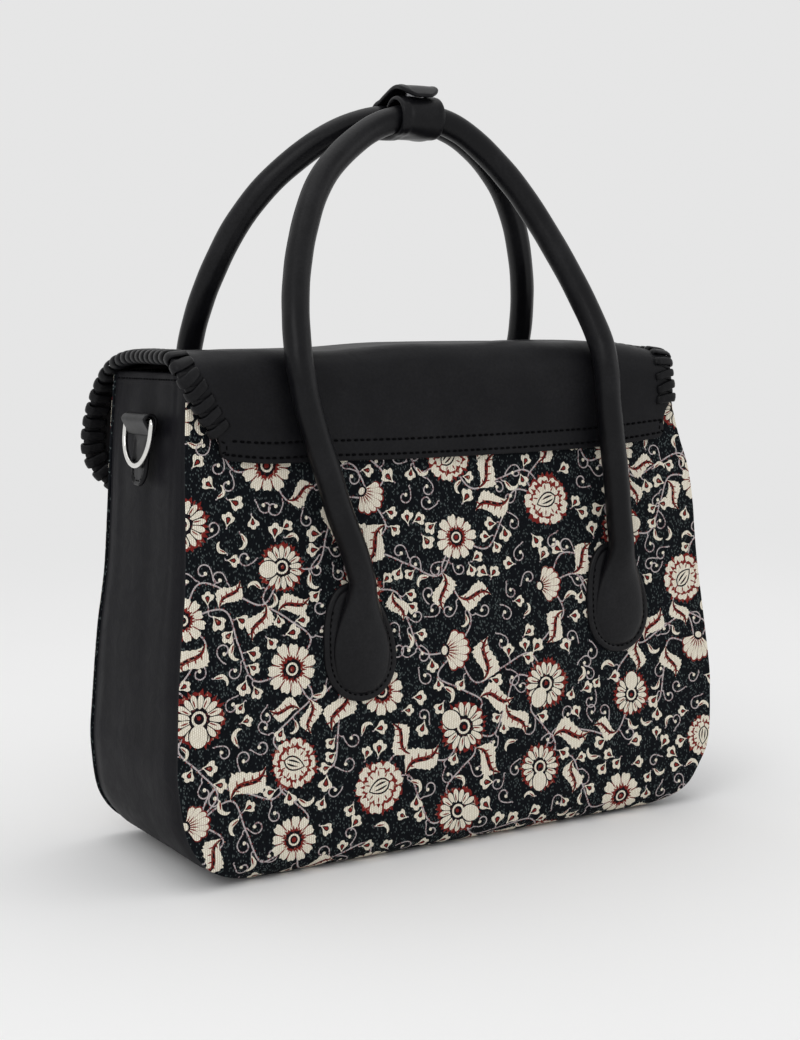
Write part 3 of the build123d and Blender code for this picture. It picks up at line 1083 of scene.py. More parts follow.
    def petal(self, reach: float, width: float, turn: float, foot: float = 0.25) -> Array:
        """Outline of a narrow petal with a round end that points outward.

        Args:
            reach: Distance of its tip.
            width: Its width.
            turn: Direction that it points in.
            foot: Where it starts, as a share of that distance.

        Returns:
            The outline.
        """
        half = [(0.55, 0.36), (0.84, 0.52), (1.0, 0.2)]
        line = drawn_line([(foot, 0)] + half + [(x, -y) for x, y in half[::-1]], True, 3)
        return self.turned(line * np.array([reach, width]), turn)

    def pinwheel(self, size: float) -> list[tuple[Array, Thread]]:
        """A half-open flower: narrow red-tipped petals round an eye and one large round petal.

        Args:
            size: Size of the motif, from its middle out.

        Returns:
            The outlines and their threads, the lowest first.
        """
        shapes = [(self.ragged(1.04 * size, 34, 0.12), Thread.RED),
                  (self.ragged(0.86 * size, 30, 0.10), Thread.DARK)]
        petals = 15
        fan = [math.radians(-152 + 304 * k / (petals - 1)) for k in range(petals)]
        for turn in fan:
            reach = size * self.chance.uniform(0.84, 0.94)
            shapes.append((self.petal(reach, 0.215 * size, turn + 0.05), Thread.CREAM))
        for turn in fan[::2]:
            shapes.append((self.vein(0.42 * size, turn, 0.34 * size, 0.06 * size), Thread.RED))
        shapes.append((self.ragged(0.44 * size, 12, 0.15), Thread.DARK))
        shapes.append((self.oval(-0.60 * size, 0, 0.45 * size, 0.40 * size), Thread.DARK))
        shapes.append((self.oval(-0.63 * size, 0, 0.42 * size, 0.35 * size), Thread.CREAM))
        return shapes + [
            (self.oval(0, 0, 0.29 * size, 0.29 * size), Thread.CREAM),
            (self.oval(0, 0, 0.20 * size, 0.20 * size), Thread.DARK),
            (self.oval(0.03 * size, 0, 0.08 * size, 0.08 * size, 0, 8), Thread.RED),
        ]

    def tulip(self, size: float) -> list[tuple[Array, Thread]]:
        """A cup of narrow petals with red veins, seen from its side.

        Args:
            size: Size of the motif, from its middle out.

        Returns:
            The outlines and their threads, the lowest first.
        """
        shapes = []
        foot = np.array([-0.6 * size, 0])
        cup = [(side * turn, reach) for turn, reach in ((0.95, 1.0), (0.62, 1.15), (0.3, 1.2)) for side in (1, -1)]
        for turn, reach in cup + [(0.0, 1.25)]:
            shapes.append((self.petal(1.06 * reach * size, 0.42 * size, turn, 0.0) + foot, Thread.RED))
            shapes.append((self.petal(0.99 * reach * size, 0.36 * size, turn, 0.0) + foot, Thread.CREAM))
            shapes.append((self.blade(foot[0], 0, 0.62 * reach * size, 0.07 * size, turn), Thread.RED))
        shapes.append((self.oval(-0.58 * size, 0, 0.24 * size, 0.3 * size), Thread.DARK))
        shapes.append((self.oval(-0.60 * size, 0, 0.15 * size, 0.2 * size), Thread.CREAM))
        return shapes

    def leaf(self, length: float, width: float) -> list[tuple[Array, Thread]]:
        """A toothed, pointed leaf with an S-shaped red midrib.

        Args:
            length: Its length.
            width: Its width.

        Returns:
            The outlines and their threads, the lowest first.
        """
        t = np.linspace(0, 1, 31)
        tooth = 1 + 0.22 * (((t * 10) % 1) - 0.6) + np.array([self.chance.uniform(-0.07, 0.07) for _ in t])
        mid = 0.09 * length * np.sin(2 * math.pi * t)
        upper = np.stack([t * length, mid + width * 0.60 * np.sin(math.pi * t**0.8) ** 1.6 * tooth], 1)
        lower = np.stack([t * length, mid - width * 0.50 * np.sin(math.pi * t**1.15) ** 1.5 * (2 - tooth)], 1)[1:-1]
        r = np.linspace(0.03, 0.97, 13)
        rib = np.stack([r * length, 0.10 * length * np.sin(2 * math.pi * r)], 1)
        thick = 0.17 * width * np.sin(math.pi * r) ** 0.8 + 0.25
        shapes = [(np.vstack([lower, upper[::-1]]), Thread.CREAM), (self.ribbon(rib, thick), Thread.RED)]
        shapes.append((self.ribbon(rib - np.array([0, 0.03 * width]), thick * 0.5), Thread.DARK))
        for k in range(2, 11):
            side, long = (1, 0.27) if k % 2 else (-1, 0.22)
            shapes.append((self.blade(*rib[k], long * width, 0.07 * width, side * 0.9), Thread.RED))
        return shapes

    def bud(self, size: float) -> list[tuple[Array, Thread]]:
        """A three-lobed bud with a red drop in it.

        Args:
            size: Size of the motif, from its middle out.

        Returns:
            The outlines and their threads, the lowest first.
        """
        rim = drawn_line([(0, 0), (0.26, 0.17), (0.5, 0.48), (0.78, 0.52), (0.84, 0.26), (1.04, 0.16), (1.02, -0.12),
                          (0.84, -0.24), (0.76, -0.46), (0.48, -0.40), (0.24, -0.15)], True, 3) * size
        drop = drawn_line([(0.14, 0), (0.42, 0.15), (0.62, 0.19), (0.74, 0), (0.62, -0.19), (0.42, -0.14)], True, 2)
        return [(rim, Thread.CREAM), (drop * size, Thread.DARK), (drop * 0.62 * size + (0.2 * size, 0), Thread.RED)]

    def leaflet(self, size: float) -> list[tuple[Array, Thread]]:
        """A small curled leaf with a hooked tip.

        Args:
            size: Size of the motif, from its middle out.

        Returns:
            The outlines and their threads, the lowest first.
        """
        rim = drawn_line([(0, 0), (0.22, 0.24), (0.56, 0.40), (0.92, 0.26), (1.14, -0.06), (1.06, -0.34),
                          (0.94, -0.08), (0.66, 0.06), (0.3, -0.02)], True, 3)
        return [(rim * size, Thread.CREAM),
                (self.blade(0.1 * size, 0.03, 0.6 * size, 0.12 * size, 0.32), Thread.RED)]

    def tendril(self, size: float) -> list[tuple[Array, Thread]]:
        """A curled tendril with a ball at its end.

        Args:
            size: Size of the motif, from its middle out.

        Returns:
            The outlines and their threads, the lowest first.
        """
        turn = np.radians(np.linspace(-90, 215, 20))
        radius = size * np.linspace(0.46, 0.17, 20)
        curl = np.stack([0.55 * size + radius * np.cos(turn), 0.46 * size + radius * np.sin(turn)], 1)
        line = np.vstack([[0, 0], [0.28 * size, -0.02 * size], curl])
        end = curl[-1]
        return [(self.ribbon(line, np.linspace(0.62, 0.8, len(line))), Thread.VINE),
                (self.oval(end[0], end[1], 1.05, 0.9, 0.5, 9), Thread.CREAM)]

    def stem(self, start: Array, stop: Array, bulge: float) -> Array:
        """A double-curved stem between two places, with its dots.

        Args:
            start: Place where it starts.
            stop: Place where it ends.
            bulge: How far it bends to each side.

        Returns:
            Its line.
        """
        run = stop - start
        aside = np.array([-run[1], run[0]]) / (np.linalg.norm(run) + 1e-9)
        bow = bulge * aside
        knots = [start, start + 0.28 * run + bow, start + 0.5 * run, start + 0.74 * run - bow, stop]
        line = spaced(drawn_line(knots, per=14), 2.0, 2)
        self.put([(self.ribbon(line, 0.85), Thread.VINE)], np.zeros(2), 0, Layer.STEM)
        ahead = heading(line)
        for k in range(1, len(line) - 1, 2):
            dot = line[k] + 0.7 * np.array([-ahead[k, 1], ahead[k, 0]]) * (1 if bulge > 0 else -1)
            self.put([(self.oval(dot[0], dot[1], 0.38, 0.38, 0, 5), Thread.RED)], np.zeros(2), 0, Layer.DOT)
        return line

    def small(self, at: Array, turn: float, spare: float = 0.3, curls: float = 0.3, stalk: float = 3.0) -> bool:
        """Puts a small motif at a place if there is room for it.

        Args:
            at: Place of its foot.
            turn: Direction in which it grows.
            spare: Room kept round it.
            curls: Share of the motifs that are tendrils.
            stalk: Longest stalk.

        Returns:
            Whether it was put there.
        """
        kind = self.chance.random()
        make = self.tendril if kind < curls else self.leaflet if kind < curls + 0.16 else self.bud
        size = self.chance.uniform(7.4, 9.4) if make == self.tendril else self.chance.uniform(6.0, 8.2)
        long = self.chance.uniform(0.6, stalk)
        foot = at + long * way(turn)
        lean = turn + self.chance.uniform(-0.6, 0.6)
        middle = foot + 0.55 * size * way(lean)
        room = 0.44 if make == self.tendril else 0.47
        if not self.free(middle[0], middle[1], room * size + spare):
            return False
        self.take(middle[0], middle[1], room * size)
        bend = 0.35 * long * np.array([-math.sin(turn), math.cos(turn)])
        line = drawn_line([at, (at + foot) / 2 + bend, foot + 0.2 * (middle - foot)], per=4)
        self.put([(self.ribbon(line, 0.62), Thread.VINE)], np.zeros(2), 0, Layer.STEM)
        self.put(make(size), foot, lean, Layer.SMALL, self.chance.random() < 0.5)
        return True

    def head(self, kind: Bloom, at: Array, size: float) -> None:
        """Puts a flower head at a place.

        Args:
            kind: Kind of flower.
            at: Its place.
            size: Size of the motif, from its middle out.
        """
        shapes = {Bloom.DAISY: self.daisy, Bloom.ROSETTE: self.rosette, Bloom.PINWHEEL: self.pinwheel,
                  Bloom.TULIP: self.tulip}[kind](size)
        self.put(shapes, at, self.chance.uniform(0, 2 * math.pi), Layer.FLOWER)

    def lay_out(self) -> None:
        """Sets out flowers, then stems, leaves, and buds and tendrils where there is room."""
        lines = self.stems(self.flowers(52.0, 48.0))
        for line in lines:
            self.leaf_on(line)
        for line in lines:
            ahead = np.gradient(line, axis=0)
            for k in range(1, len(line) - 1):
                turn = math.atan2(ahead[k, 1], ahead[k, 0])
                self.small(line[k], turn + (1 if k % 2 else -1) * self.chance.uniform(0.7, 1.3), 0.3, 0.4, 4.0)
        for _ in range(5000):
            x = self.chance.uniform(-self.width / 2, self.width / 2)
            y = self.chance.uniform(-4, self.length)
            if self.free(x, y, 0.6):
                self.small(np.array([x, y]), self.chance.uniform(0, 2 * math.pi), 0.45, 0.42, 1.6)

    def flowers(self, pitch_u: float, pitch_v: float) -> dict[tuple[int, int], Array]:
        """Sets flowers on a jittered half-drop lattice.

        Args:
            pitch_u: Distance of the columns.
            pitch_v: Distance of the rows.

        Returns:
            The flowers' places by column and row.
        """
        kinds = [Bloom.DAISY, Bloom.PINWHEEL, Bloom.ROSETTE, Bloom.PINWHEEL, Bloom.DAISY, Bloom.ROSETTE,
                 Bloom.PINWHEEL, Bloom.TULIP]
        sites: dict[tuple[int, int], Array] = {}
        for i in range(-4, 5):
            for j in range(-1, 7):
                drop = pitch_v / 2 if i % 2 else 0
                spot = np.array([i * pitch_u + self.chance.uniform(-7, 7),
                                 j * pitch_v + drop + self.chance.uniform(-6, 6)])
                kind = kinds[(3 * i + 2 * j + self.chance.choice([0, 0, 1])) % len(kinds)]
                size = self.chance.uniform(11.2, 13.8) * (0.88 if kind == Bloom.TULIP else 1)
                sites[i, j] = spot
                self.head(kind, spot, size)
                self.take(spot[0], spot[1], size)
        return sites

    def stems(self, sites: dict[tuple[int, int], Array]) -> list[Array]:
        """Joins flowers by stems and gives the stems' lines.

        Args:
            sites: The flowers' places by column and row.

        Returns:
            The lines of the stems.
        """
        lines = []
        for (i, j), spot in sites.items():
            toward = (i + (1 if (i + j) % 2 else -1), j + (1 if i % 2 else 0))
            if toward in sites:
                bulge = self.chance.uniform(9, 15) * (1 if j % 2 else -1)
                lines.append(self.stem(spot, sites[toward], bulge))
            if (i, j + 1) in sites and self.chance.random() < 0.6:
                bulge = self.side() * self.chance.uniform(8, 13)
                lines.append(self.stem(spot, sites[i, j + 1], bulge))
        return lines

    def leaf_on(self, line: Array) -> None:
        """Puts one leaf on a stem, at the first place that has room.

        Args:
            line: Line of the stem.
        """
        ahead = np.gradient(line, axis=0)
        for k in range(len(line) // 4, len(line) - 4, 3):
            turn = math.atan2(ahead[k, 1], ahead[k, 0]) + self.side() * self.chance.uniform(0.6, 1.1)
            long = self.chance.uniform(17, 25)
            along = long * way(turn)
            if all(self.free(*(line[k] + share * along), 0.25 * long) for share in (0.35, 0.75)):
                self.put(self.leaf(long, 0.56 * long), line[k], turn, Layer.LEAF, self.chance.random() < 0.5)
                for share in (0.3, 0.7):
                    self.take(*(line[k] + share * along), 0.25 * long)
                return


@dataclass
class WovenPanel:
    """A tapestry panel that leans, rolls under the bag and turns its print round its edge."""

    form: BagForm
    side: int
    seed: int
    name: str
    node: str
    grid: float = 4.5
    inner_grid: float = 9.0
    half_width: float = 168.0
    margin: float = 2.0
    rim_steps: Sequence[float] = (0.1, 0.35, 0.75, 1.25)

    def outline(self) -> Array:
        """Flat outline of the panel, counter-clockwise in across and down.

        Returns:
            The points of the outline.
        """
        wall, run = self.form.wall_run, self.form.run
        v = np.concatenate([np.arange(0, wall, 3.0), np.linspace(wall, run, 26)])
        z = self.form.profile(v)[1]
        left, right = -self.form.sides[-1](z), self.form.sides[1](z)
        bottom = np.linspace(left[-1], right[-1], 76)[1:-1]
        top = np.linspace(left[0], right[0], 96)[1:-1]
        return np.vstack([
            np.stack([top, np.zeros(len(top))], 1), np.stack([right, v], 1),
            np.stack([bottom[::-1], np.full(len(bottom), v[-1])], 1), np.stack([left[::-1], v[::-1]], 1),
        ])

    def inner_points(self, loop: Array, step: float) -> Array:
        """Grid points inside the panel that carry its curve.

        Args:
            loop: Outline of the panel.
            step: Distance of the points.

        Returns:
            The points.
        """
        wall, run, margin = self.form.wall_run, self.form.run, self.margin
        u = np.arange(-self.half_width, self.half_width + 1, step)
        v = np.concatenate([np.arange(3, wall, step), np.linspace(wall, run, 12)])
        mesh = np.stack(np.meshgrid(u, v), -1).reshape(-1, 2)
        z = self.form.profile(mesh[:, 1])[1]
        inside = (mesh[:, 0] > margin - self.form.sides[-1](z)) & (mesh[:, 0] < self.form.sides[1](z) - margin)
        mesh = mesh[inside & (mesh[:, 1] < run - margin)]
        return mesh[loop_distance(mesh, loop) > margin]

    def raised(self, flat: Array, loop: Array, face: int) -> Array:
        """Flat points put into the bag, on the outer (1) or inner (-1) face of the cloth.

        Args:
            flat: Flat points.
            loop: Outline of the panel.
            face: 1 for the outer face and -1 for the inner one.

        Returns:
            The points in the bag.
        """
        half = self.form.panel / 2
        height = face * round_edge(loop_distance(flat, loop), half) - half
        return self.form.on_panel(self.side, flat[:, 0], flat[:, 1], height)

    def cut(self, loop: Array, patches: Sequence[Patch], step: float) -> tuple[Array, list, list]:
        """Cuts the flat panel into triangles along the print's outlines.

        Args:
            loop: Outline of the panel.
            patches: Shapes of the print.
            step: Distance of the grid points.

        Returns:
            Flat points, triangles and the thread of each triangle.
        """
        points, edges, faces = [*loop], [], [list(range(len(loop)))]
        for inward in self.rim_steps:
            first = len(points)
            ring = offset_loop(loop, inward)
            points.extend(ring)
            edges.extend((first + k, first + (k + 1) % len(ring)) for k in range(len(ring)))
        points.extend(self.inner_points(loop, step))
        far = np.array([self.half_width + 4, self.form.run + self.margin])
        near = np.array([-far[0], -self.margin])
        for patch in patches:
            if np.any(patch.outline.max(0) < near) or np.any(patch.outline.min(0) > far):
                faces.append([])
                continue
            first = len(points)
            points.extend(patch.outline)
            faces.append(list(range(first, first + len(patch.outline))))
        kept = [k for k, f in enumerate(faces) if f]
        made = delaunay_2d_cdt([Vector((float(p[0]), float(p[1]))) for p in points], edges,
                               [faces[k] for k in kept], 0, 1e-4, True)
        order = [-1] + [patch.layer for patch in patches]
        threads = [Thread.GROUND] + [patch.thread for patch in patches]
        triangles, marks = [], []
        for triangle, holders in zip(made[2], made[5]):
            if 0 not in holders:
                continue
            top = max(holders, key=lambda h: order[kept[h]])
            triangles.append(triangle)
            marks.append(int(threads[kept[top]]))
        used, new = np.unique(np.array(triangles), return_inverse=True)
        flat = np.array([tuple(made[0][k]) for k in used])
        return flat, new.reshape(-1, 3).tolist(), marks

    def rim_loop(self, triangles: Sequence[Sequence[int]]) -> list[int]:
        """Numbers of the points round the cut panel, in order.

        Args:
            triangles: Triangles of the panel, by their points.

        Returns:
            The numbers.
        """
        ahead: dict[int, int] = {}
        seen = set()
        for t in triangles:
            for a, b in zip(t, [*t[1:], t[0]]):
                seen.add((a, b))
        for a, b in seen:
            if (b, a) not in seen:
                ahead[a] = b
        first = min(ahead)
        loop, at = [first], ahead[first]
        while at != first:
            loop.append(at)
            at = ahead[at]
        return loop

    def build(self, finishes: Finishes) -> bpy.types.Object:
        """Makes the panel with its print.

        Args:
            finishes: The bag's finishes.

        Returns:
            The panel.
        """
        loop = self.outline()
        draft = Draft(self.name)
        flat, triangles, marks = self.cut(loop, VinePrint(self.seed).patches, self.grid)
        draft.add(self.raised(flat, loop, 1), triangles, marks, flat)
        rim = flat[self.rim_loop(triangles)]
        flat, triangles, marks = self.cut(rim, [], self.inner_grid)
        draft.add(self.raised(flat, loop, -1), triangles, marks, flat)
        return draft.build(finishes.weave, stands_for=[self.node], slot="tapestry", angle=80)


@dataclass
class Gusset:
    """A leather side that runs down between the panels and under the corner."""

    form: BagForm
    side: int
    name: str
    node: str
    seam_x: float = 104.0
    half: float = 1.0
    recess: float = 0.9
    hem: float = 4.0
    creases: Sequence[Sequence[float]] = (
        (38, 1.5, 0.5, 45), (30, 7.0, 0.5, 120), (-12, 9.0, 0.6, 150), (-34, 1.8, 0.4, 70),
    )

    def __post_init__(self) -> None:
        """Works out the side line from the rim to the seam under the bag."""
        z = np.concatenate([np.linspace(254, 30, 90), np.linspace(29, 0, 70)])
        x = self.form.sides[self.side](z)
        line = np.vstack([np.stack([x, z], 1), [[self.seam_x, 0.0]]])
        self.line = spaced(line, 1.0, 2)
        self.run = float(np.sum(np.linalg.norm(np.diff(self.line, axis=0), axis=1)))
        ahead = np.gradient(self.line, axis=0)
        self.normal = smoothed(np.stack([-ahead[:, 1], ahead[:, 0]], 1), 4)

    def depth(self, v: Array) -> Array:
        """Half depth of the gusset, between the inner faces of the panels.

        Args:
            v: Places along.

        Returns:
            One distance for each place.
        """
        z = np.interp(v, np.linspace(0, self.run, len(self.line)), self.line[:, 1])
        radius = self.form.roll - self.form.panel
        low = self.form.flat_y + np.sqrt(np.clip(radius**2 - (self.form.roll - z) ** 2, 0, None))
        return np.where(z > self.form.roll, self.form.wall(z) - self.form.panel, low) + 0.05

    def place(self, u: Array, v: Array, n: Array) -> Array:
        """Puts depth u, run v and height n into the bag.

        Args:
            u: Places across.
            v: Places along.
            n: Heights over the middle of the sheet.

        Returns:
            The points in the bag.
        """
        marks = np.linspace(0, self.run, len(self.line))
        x, z, nx, nz = (np.interp(v, marks, part[:, k]) for part in (self.line, self.normal) for k in range(2))
        out = n - self.half - self.recess + self.fullness(u, v)
        return np.stack([self.side * (x + nx * out), u, z + nz * out - self.form.sag(self.side * x, z)], -1)

    def fullness(self, u: Array, v: Array) -> Array:
        """How far the leather stands out between its seams, with its creases.

        Args:
            u: Places across.
            v: Places along.

        Returns:
            The distances.
        """
        gap = self.depth(v) - np.abs(u)
        body = eased(0, 16, gap) * 1.3 * eased(0, 60, v) * (1 - eased(250, 285, v))
        for y, width, deep, fade in self.creases:
            bend = y + 3.0 * np.sin(v / 47 + y)
            fold = 0.45 * hill(2.2 * width, width, u - bend) - hill(0, width, u - bend)
            body = body + deep * fold * np.exp(-v / fade) * eased(0, 8, gap)
        ripple = 0.09 * np.sin(v / 21 + u / 17) * eased(0, 20, gap) * (1 - eased(240, 285, v))
        return body + ripple - 0.5 * hill(2.2, 1.0, gap)

    def build(self, finishes: Finishes) -> bpy.types.Object:
        """Makes the gusset with its stitched hem.

        Args:
            finishes: The bag's finishes.

        Returns:
            The gusset.
        """
        draft = Draft(self.name)
        rows = edge_rows(self.run, 3.0, self.half)

        def across(v: Array) -> tuple[Array, Array]:
            """Both seams at places down the gusset."""
            return -self.depth(v), self.depth(v)

        def lift(u: Array, v: Array) -> Array:
            """Turned hem with the groove of its stitches."""
            return 0.55 * (1 - eased(5.2, 7.0, v)) - 0.3 * hill(self.hem, 0.7, v)

        near = np.sort(np.concatenate([rows, [3.2, 3.7, 4.3, 4.8, 5.4, 5.9, 6.4, 6.9, 7.5]]))
        draft.sheet(self.place, across, near, 56, self.half, lift)
        sewn(draft, self.place, np.linspace(-45, 45, 60), np.full(60, self.hem), self.half + 0.3)
        return draft.build([finishes.side, finishes.thread], stands_for=[self.node])


@dataclass
class Underside:
    """The leather base panel, the lining bag and what the source already gives them."""

    form: BagForm
    seam_x: float = 104.0
    half: float = 1.0
    hem: float = 3.5
    lining_top: float = 249.0
    lining_floor: float = 5.3
    wall_gap: float = 2.8
    side_gap: float = 4.6
    corner: float = 8.0
    around: int = 140

    def base(self, finishes: Finishes) -> bpy.types.Object:
        """Makes the base panel with two rows of stitches at its ends.

        Args:
            finishes: The bag's finishes.

        Returns:
            The base panel.
        """
        draft = Draft("base_leather")

        def place(u: Array, v: Array, n: Array) -> Array:
            """Puts depth u, run v and height n under the bag."""
            dent = 0.15 * np.sin(u / 19) * np.sin(v / 23)
            return np.stack([v - self.seam_x, u, self.half - n + dent + 0.25], -1)

        def across(v: Array) -> tuple[Array, Array]:
            """Both long edges of the base."""
            return np.full(len(v), -self.form.flat_y), np.full(len(v), self.form.flat_y)

        draft.sheet(place, across, edge_rows(2 * self.seam_x, 6, self.half), 20, self.half)
        for end in (self.hem, 2 * self.seam_x - self.hem):
            sewn(draft, place, np.linspace(-46, 46, 60), np.full(60, end), self.half)
        return draft.build([finishes.side, finishes.thread], stands_for=["base_panel"])

    def loop(self, z: float, inset: float) -> Array:
        """One round of the lining.

        Args:
            z: Its height.
            inset: How far it lies inside the lining's outer face.

        Returns:
            The points of the round.
        """
        form, corner = self.form, self.corner
        radius = form.roll - self.wall_gap - inset
        low = form.flat_y + math.sqrt(max(radius**2 - (form.roll - z) ** 2, 0)) - 0.4
        y = form.wall(z) - self.wall_gap - inset if z > form.roll else low
        left, right = (float(form.sides[s](z)) - self.side_gap - inset for s in (-1, 1))
        places = ((right - corner, y - corner), (corner - left, y - corner), (corner - left, corner - y),
                  (right - corner, corner - y))
        flat = np.vstack([arc(place, corner, 90 * k, 90 * k + 90, 7) for k, place in enumerate(places)])
        flat = spaced(np.vstack([flat, flat[:1]]), 1.0, 2)[:-1]
        pick = np.linspace(0, len(flat) - 1, self.around).astype(int)
        ring = np.column_stack([flat[pick], np.full(self.around, z)])
        turn = full_turn(self.around)
        fold = 0.5 * np.sin(9 * turn + z / 31) + 0.4 * np.sin(17 * turn - z / 19)
        ring[:, :2] *= (1 - 0.006 * (1 + fold) * float(eased(10, 60, z)))[:, None]
        ring[:, 2] -= form.sag(ring[:, 0], ring[:, 2])
        return ring

    def lining(self, finishes: Finishes) -> bpy.types.Object:
        """Makes the lining bag, open at the top, with soft folds.

        Args:
            finishes: The bag's finishes.

        Returns:
            The lining.
        """
        heights = np.concatenate([np.linspace(self.lining_floor, 20, 12), np.linspace(26, self.lining_top, 40)])
        outer = [self.loop(z, 0.0) for z in heights]
        inner = [self.loop(z, 1.0) for z in heights[::-1]]
        for ring in inner[-2:]:
            ring[:, 2] += 1.0
        ends = []
        for ring, z in ((outer[0], self.lining_floor), (inner[-1], inner[-1][0, 2])):
            centre = np.array([2.0, 0, z])
            ends.append([share * ring + (1 - share) * centre for share in (0.6, 0.15)])
        draft = Draft("lining_bag")
        draft.tube(np.stack(ends[0][::-1] + outer + inner + ends[1]))
        return draft.build([finishes.lining], stands_for=["lining"], slot="lining_cloth")

    def dress_nodes(self, finishes: Finishes) -> None:
        """Gives the rigid nodes of the source their finishes.

        Args:
            finishes: The bag's finishes.
        """
        for node, finish in (("base_board", finishes.board), ("magnet_socket", finishes.snap),
                             ("magnet_stud", finishes.snap), ("keeper_snap_socket", finishes.snap),
                             ("keeper_snap_stud", finishes.snap)):
            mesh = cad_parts[node].data
            mesh.materials.clear()
            mesh.materials.append(finish)


@dataclass(frozen=True)
class Strip:
    """Sizes of one turn of the lace: reach in from the edge, section, height of its middle and slope."""

    reach: float
    width: float
    thick: float
    rise: float
    slant: float


@dataclass
class Flap:
    """The two-layer flap, sewn to the back and bent over the mouth, with its laced edge."""

    form: BagForm
    layer: float = 1.5
    sewn_z: float = 207.0
    front_z: float = 182.0
    gap: float = 0.6
    rise: float = 7.0
    standoff: float = 7.7
    back_lean: float = 2.0
    shoulders: tuple[float, float] = (15.0, 21.5)
    left_edge: Sequence[Sequence[float]] = (
        (0, 126.0), (1.2, 129.6), (3.5, 131.4), (10, 132.6), (17, 136.2), (25, 140.6), (36, 146.2), (42, 149.2),
        (50, 151.6), (60, 151.8), (88, 149.6), (115, 147.2), (140, 146.4), (160, 147.4), (180, 149.6), (200, 151.2),
        (240, 151.0),
    )
    right_edge: Sequence[Sequence[float]] = (
        (0, 132.5), (1.2, 135.4), (4, 136.9), (12, 137.2), (16, 138.5), (20, 140.8), (26, 141.8), (34, 140.8),
        (44, 140.0), (54, 142.5), (70, 146.5), (100, 148.8), (240, 149.0),
    )
    corner: float = 30.0
    flare: Sequence[tuple[float, float]] = (
        (-24, 262.5), (-10.8, 262.6), (5, 262.6), (20, 262.2), (34, 260.8), (46, 257.8), (56.5, 252), (64.6, 243.4),
        (71, 233), (75.8, 222), (78.6, 211), (78.8, 200), (77.6, 189), (75.8, 177),
    )
    lace_pitch: float = 8.05
    lace_from: tuple[float, float] = (11.0, 18.5)
    rows: tuple[float, float] = (3.0, 10.4)
    row_ends: tuple[float, float] = (-128.5, 133.6)

    def __post_init__(self) -> None:
        """Works out the line that the flap bends along."""
        lean = math.radians(self.back_lean)
        top = self.form.rim + self.rise + self.layer
        sewn = self.form.wall(self.sewn_z) + self.gap + self.layer
        knots = [(-sewn, self.sewn_z), (-(sewn + (top - self.sewn_z) * math.tan(lean)), top)]
        off = (self.standoff + self.layer) / math.cos(self.form.lean)
        knots += [(self.form.wall(top) + off, top), (self.form.wall(self.front_z) + off, self.front_z)]
        self.line = self.rounded(np.array(knots), self.shoulders)
        self.marks = gone_along(self.line)
        self.run = float(self.marks[-1])
        steep = spaced(np.vstack([self.line[self.line[:, 0] < -30], drawn_line(self.flare, per=8)]), 1.0, 2)
        reach = gone_along(steep)
        flared = np.stack([np.interp(self.marks, reach, steep[:, k]) for k in range(2)], 1)
        self.paths = Path(self.line, self.marks), Path(flared, self.marks)
        self.left, self.right = table(self.left_edge), table(self.right_edge)
        self.lift_low = table([(-160, 5.5), (-132, 4.0), (-106, 1.0), (-78, 0.6), (-12, -1.1), (86, -1.0),
                               (137, 2.2), (160, 3)])

    def rounded(self, knots: Array, radii: Sequence[float]) -> Array:
        """A line through knots with round corners, in small steps.

        Args:
            knots: Corners of the line, ends first and last.
            radii: Radius of each corner.

        Returns:
            The line.
        """
        line = [knots[0]]
        for before, corner, after, radius in zip(knots, knots[1:], knots[2:], radii):
            into, out = (before - corner), (after - corner)
            into, out = into / np.linalg.norm(into), out / np.linalg.norm(out)
            half = math.acos(float(np.clip(into @ out, -1, 1))) / 2
            reach = radius / math.tan(half)
            centre = corner + (into + out) / np.linalg.norm(into + out) * radius / math.sin(half)
            first, last = corner + into * reach - centre, corner + out * reach - centre
            a, b = math.atan2(first[1], first[0]), math.atan2(last[1], last[0])
            b += 2 * math.pi * round((a - b) / (2 * math.pi))
            line.extend(centre + radius * way(t) for t in np.linspace(a, b, 14))
        line.append(knots[-1])
        return spaced(np.array(line), 1.0, 2)

    def place(self, u: Array, v: Array, n: Array) -> Array:
        """Puts flat place (u across, v along) and height n into the bag, with the flap's soft shape.

        Args:
            u: Places across.
            v: Places along.
            n: Heights over the middle of the sheet.

        Returns:
            The points in the bag.
        """
        u, v, n = np.broadcast_arrays(np.asarray(u, float), np.asarray(v, float), np.asarray(n, float))
        inside = np.clip(v, 0, self.run)
        share = eased(84, 148, -u) + 0.3 * eased(96, 150, u)
        bent, flared = (path.at(inside) for path in self.paths)
        y, z, ay, az = (a * (1 - share) + b * share for a, b in zip(bent, flared))
        size = np.sqrt(ay**2 + az**2)
        ay, az = ay / size, az / size
        y, z = y + ay * (v - inside), z + az * (v - inside)
        y, z = y - az * n, z + ay * n
        low = 1 - eased(0, 42, v)
        z = z + low * self.lift_low(u)
        over = eased(30, 62, v) * (1 - eased(self.run - 70, self.run - 20, v))
        right = eased(92, 152, u)
        droop = 8.2 * right**1.4 * (1 - 0.6 * eased(62, 125, v))
        z = z - over * (droop + hill(-70, 26, u) - 0.8 * hill(20, 45, u) + 0.8 * hill(70, 16, u))
        z = z - over * 1.2 * eased(120, 152, -u) + 0.5 * over * np.sin(u / 13 + v / 19) * eased(-140, -60, u)
        bulge = eased(14, 34, v) * (1 - eased(40, 58, v))
        y = y - bulge * (0.7 * np.sin(u / 34 + 0.6) + 0.4 * np.sin(u / 15)) * 0.6
        front = eased(self.run - 62, self.run - 20, v)
        y = y + front * (0.8 * np.sin(u / 37 + 1) + 0.35 * np.sin(u / 14))
        return np.stack([u, y, z], -1)

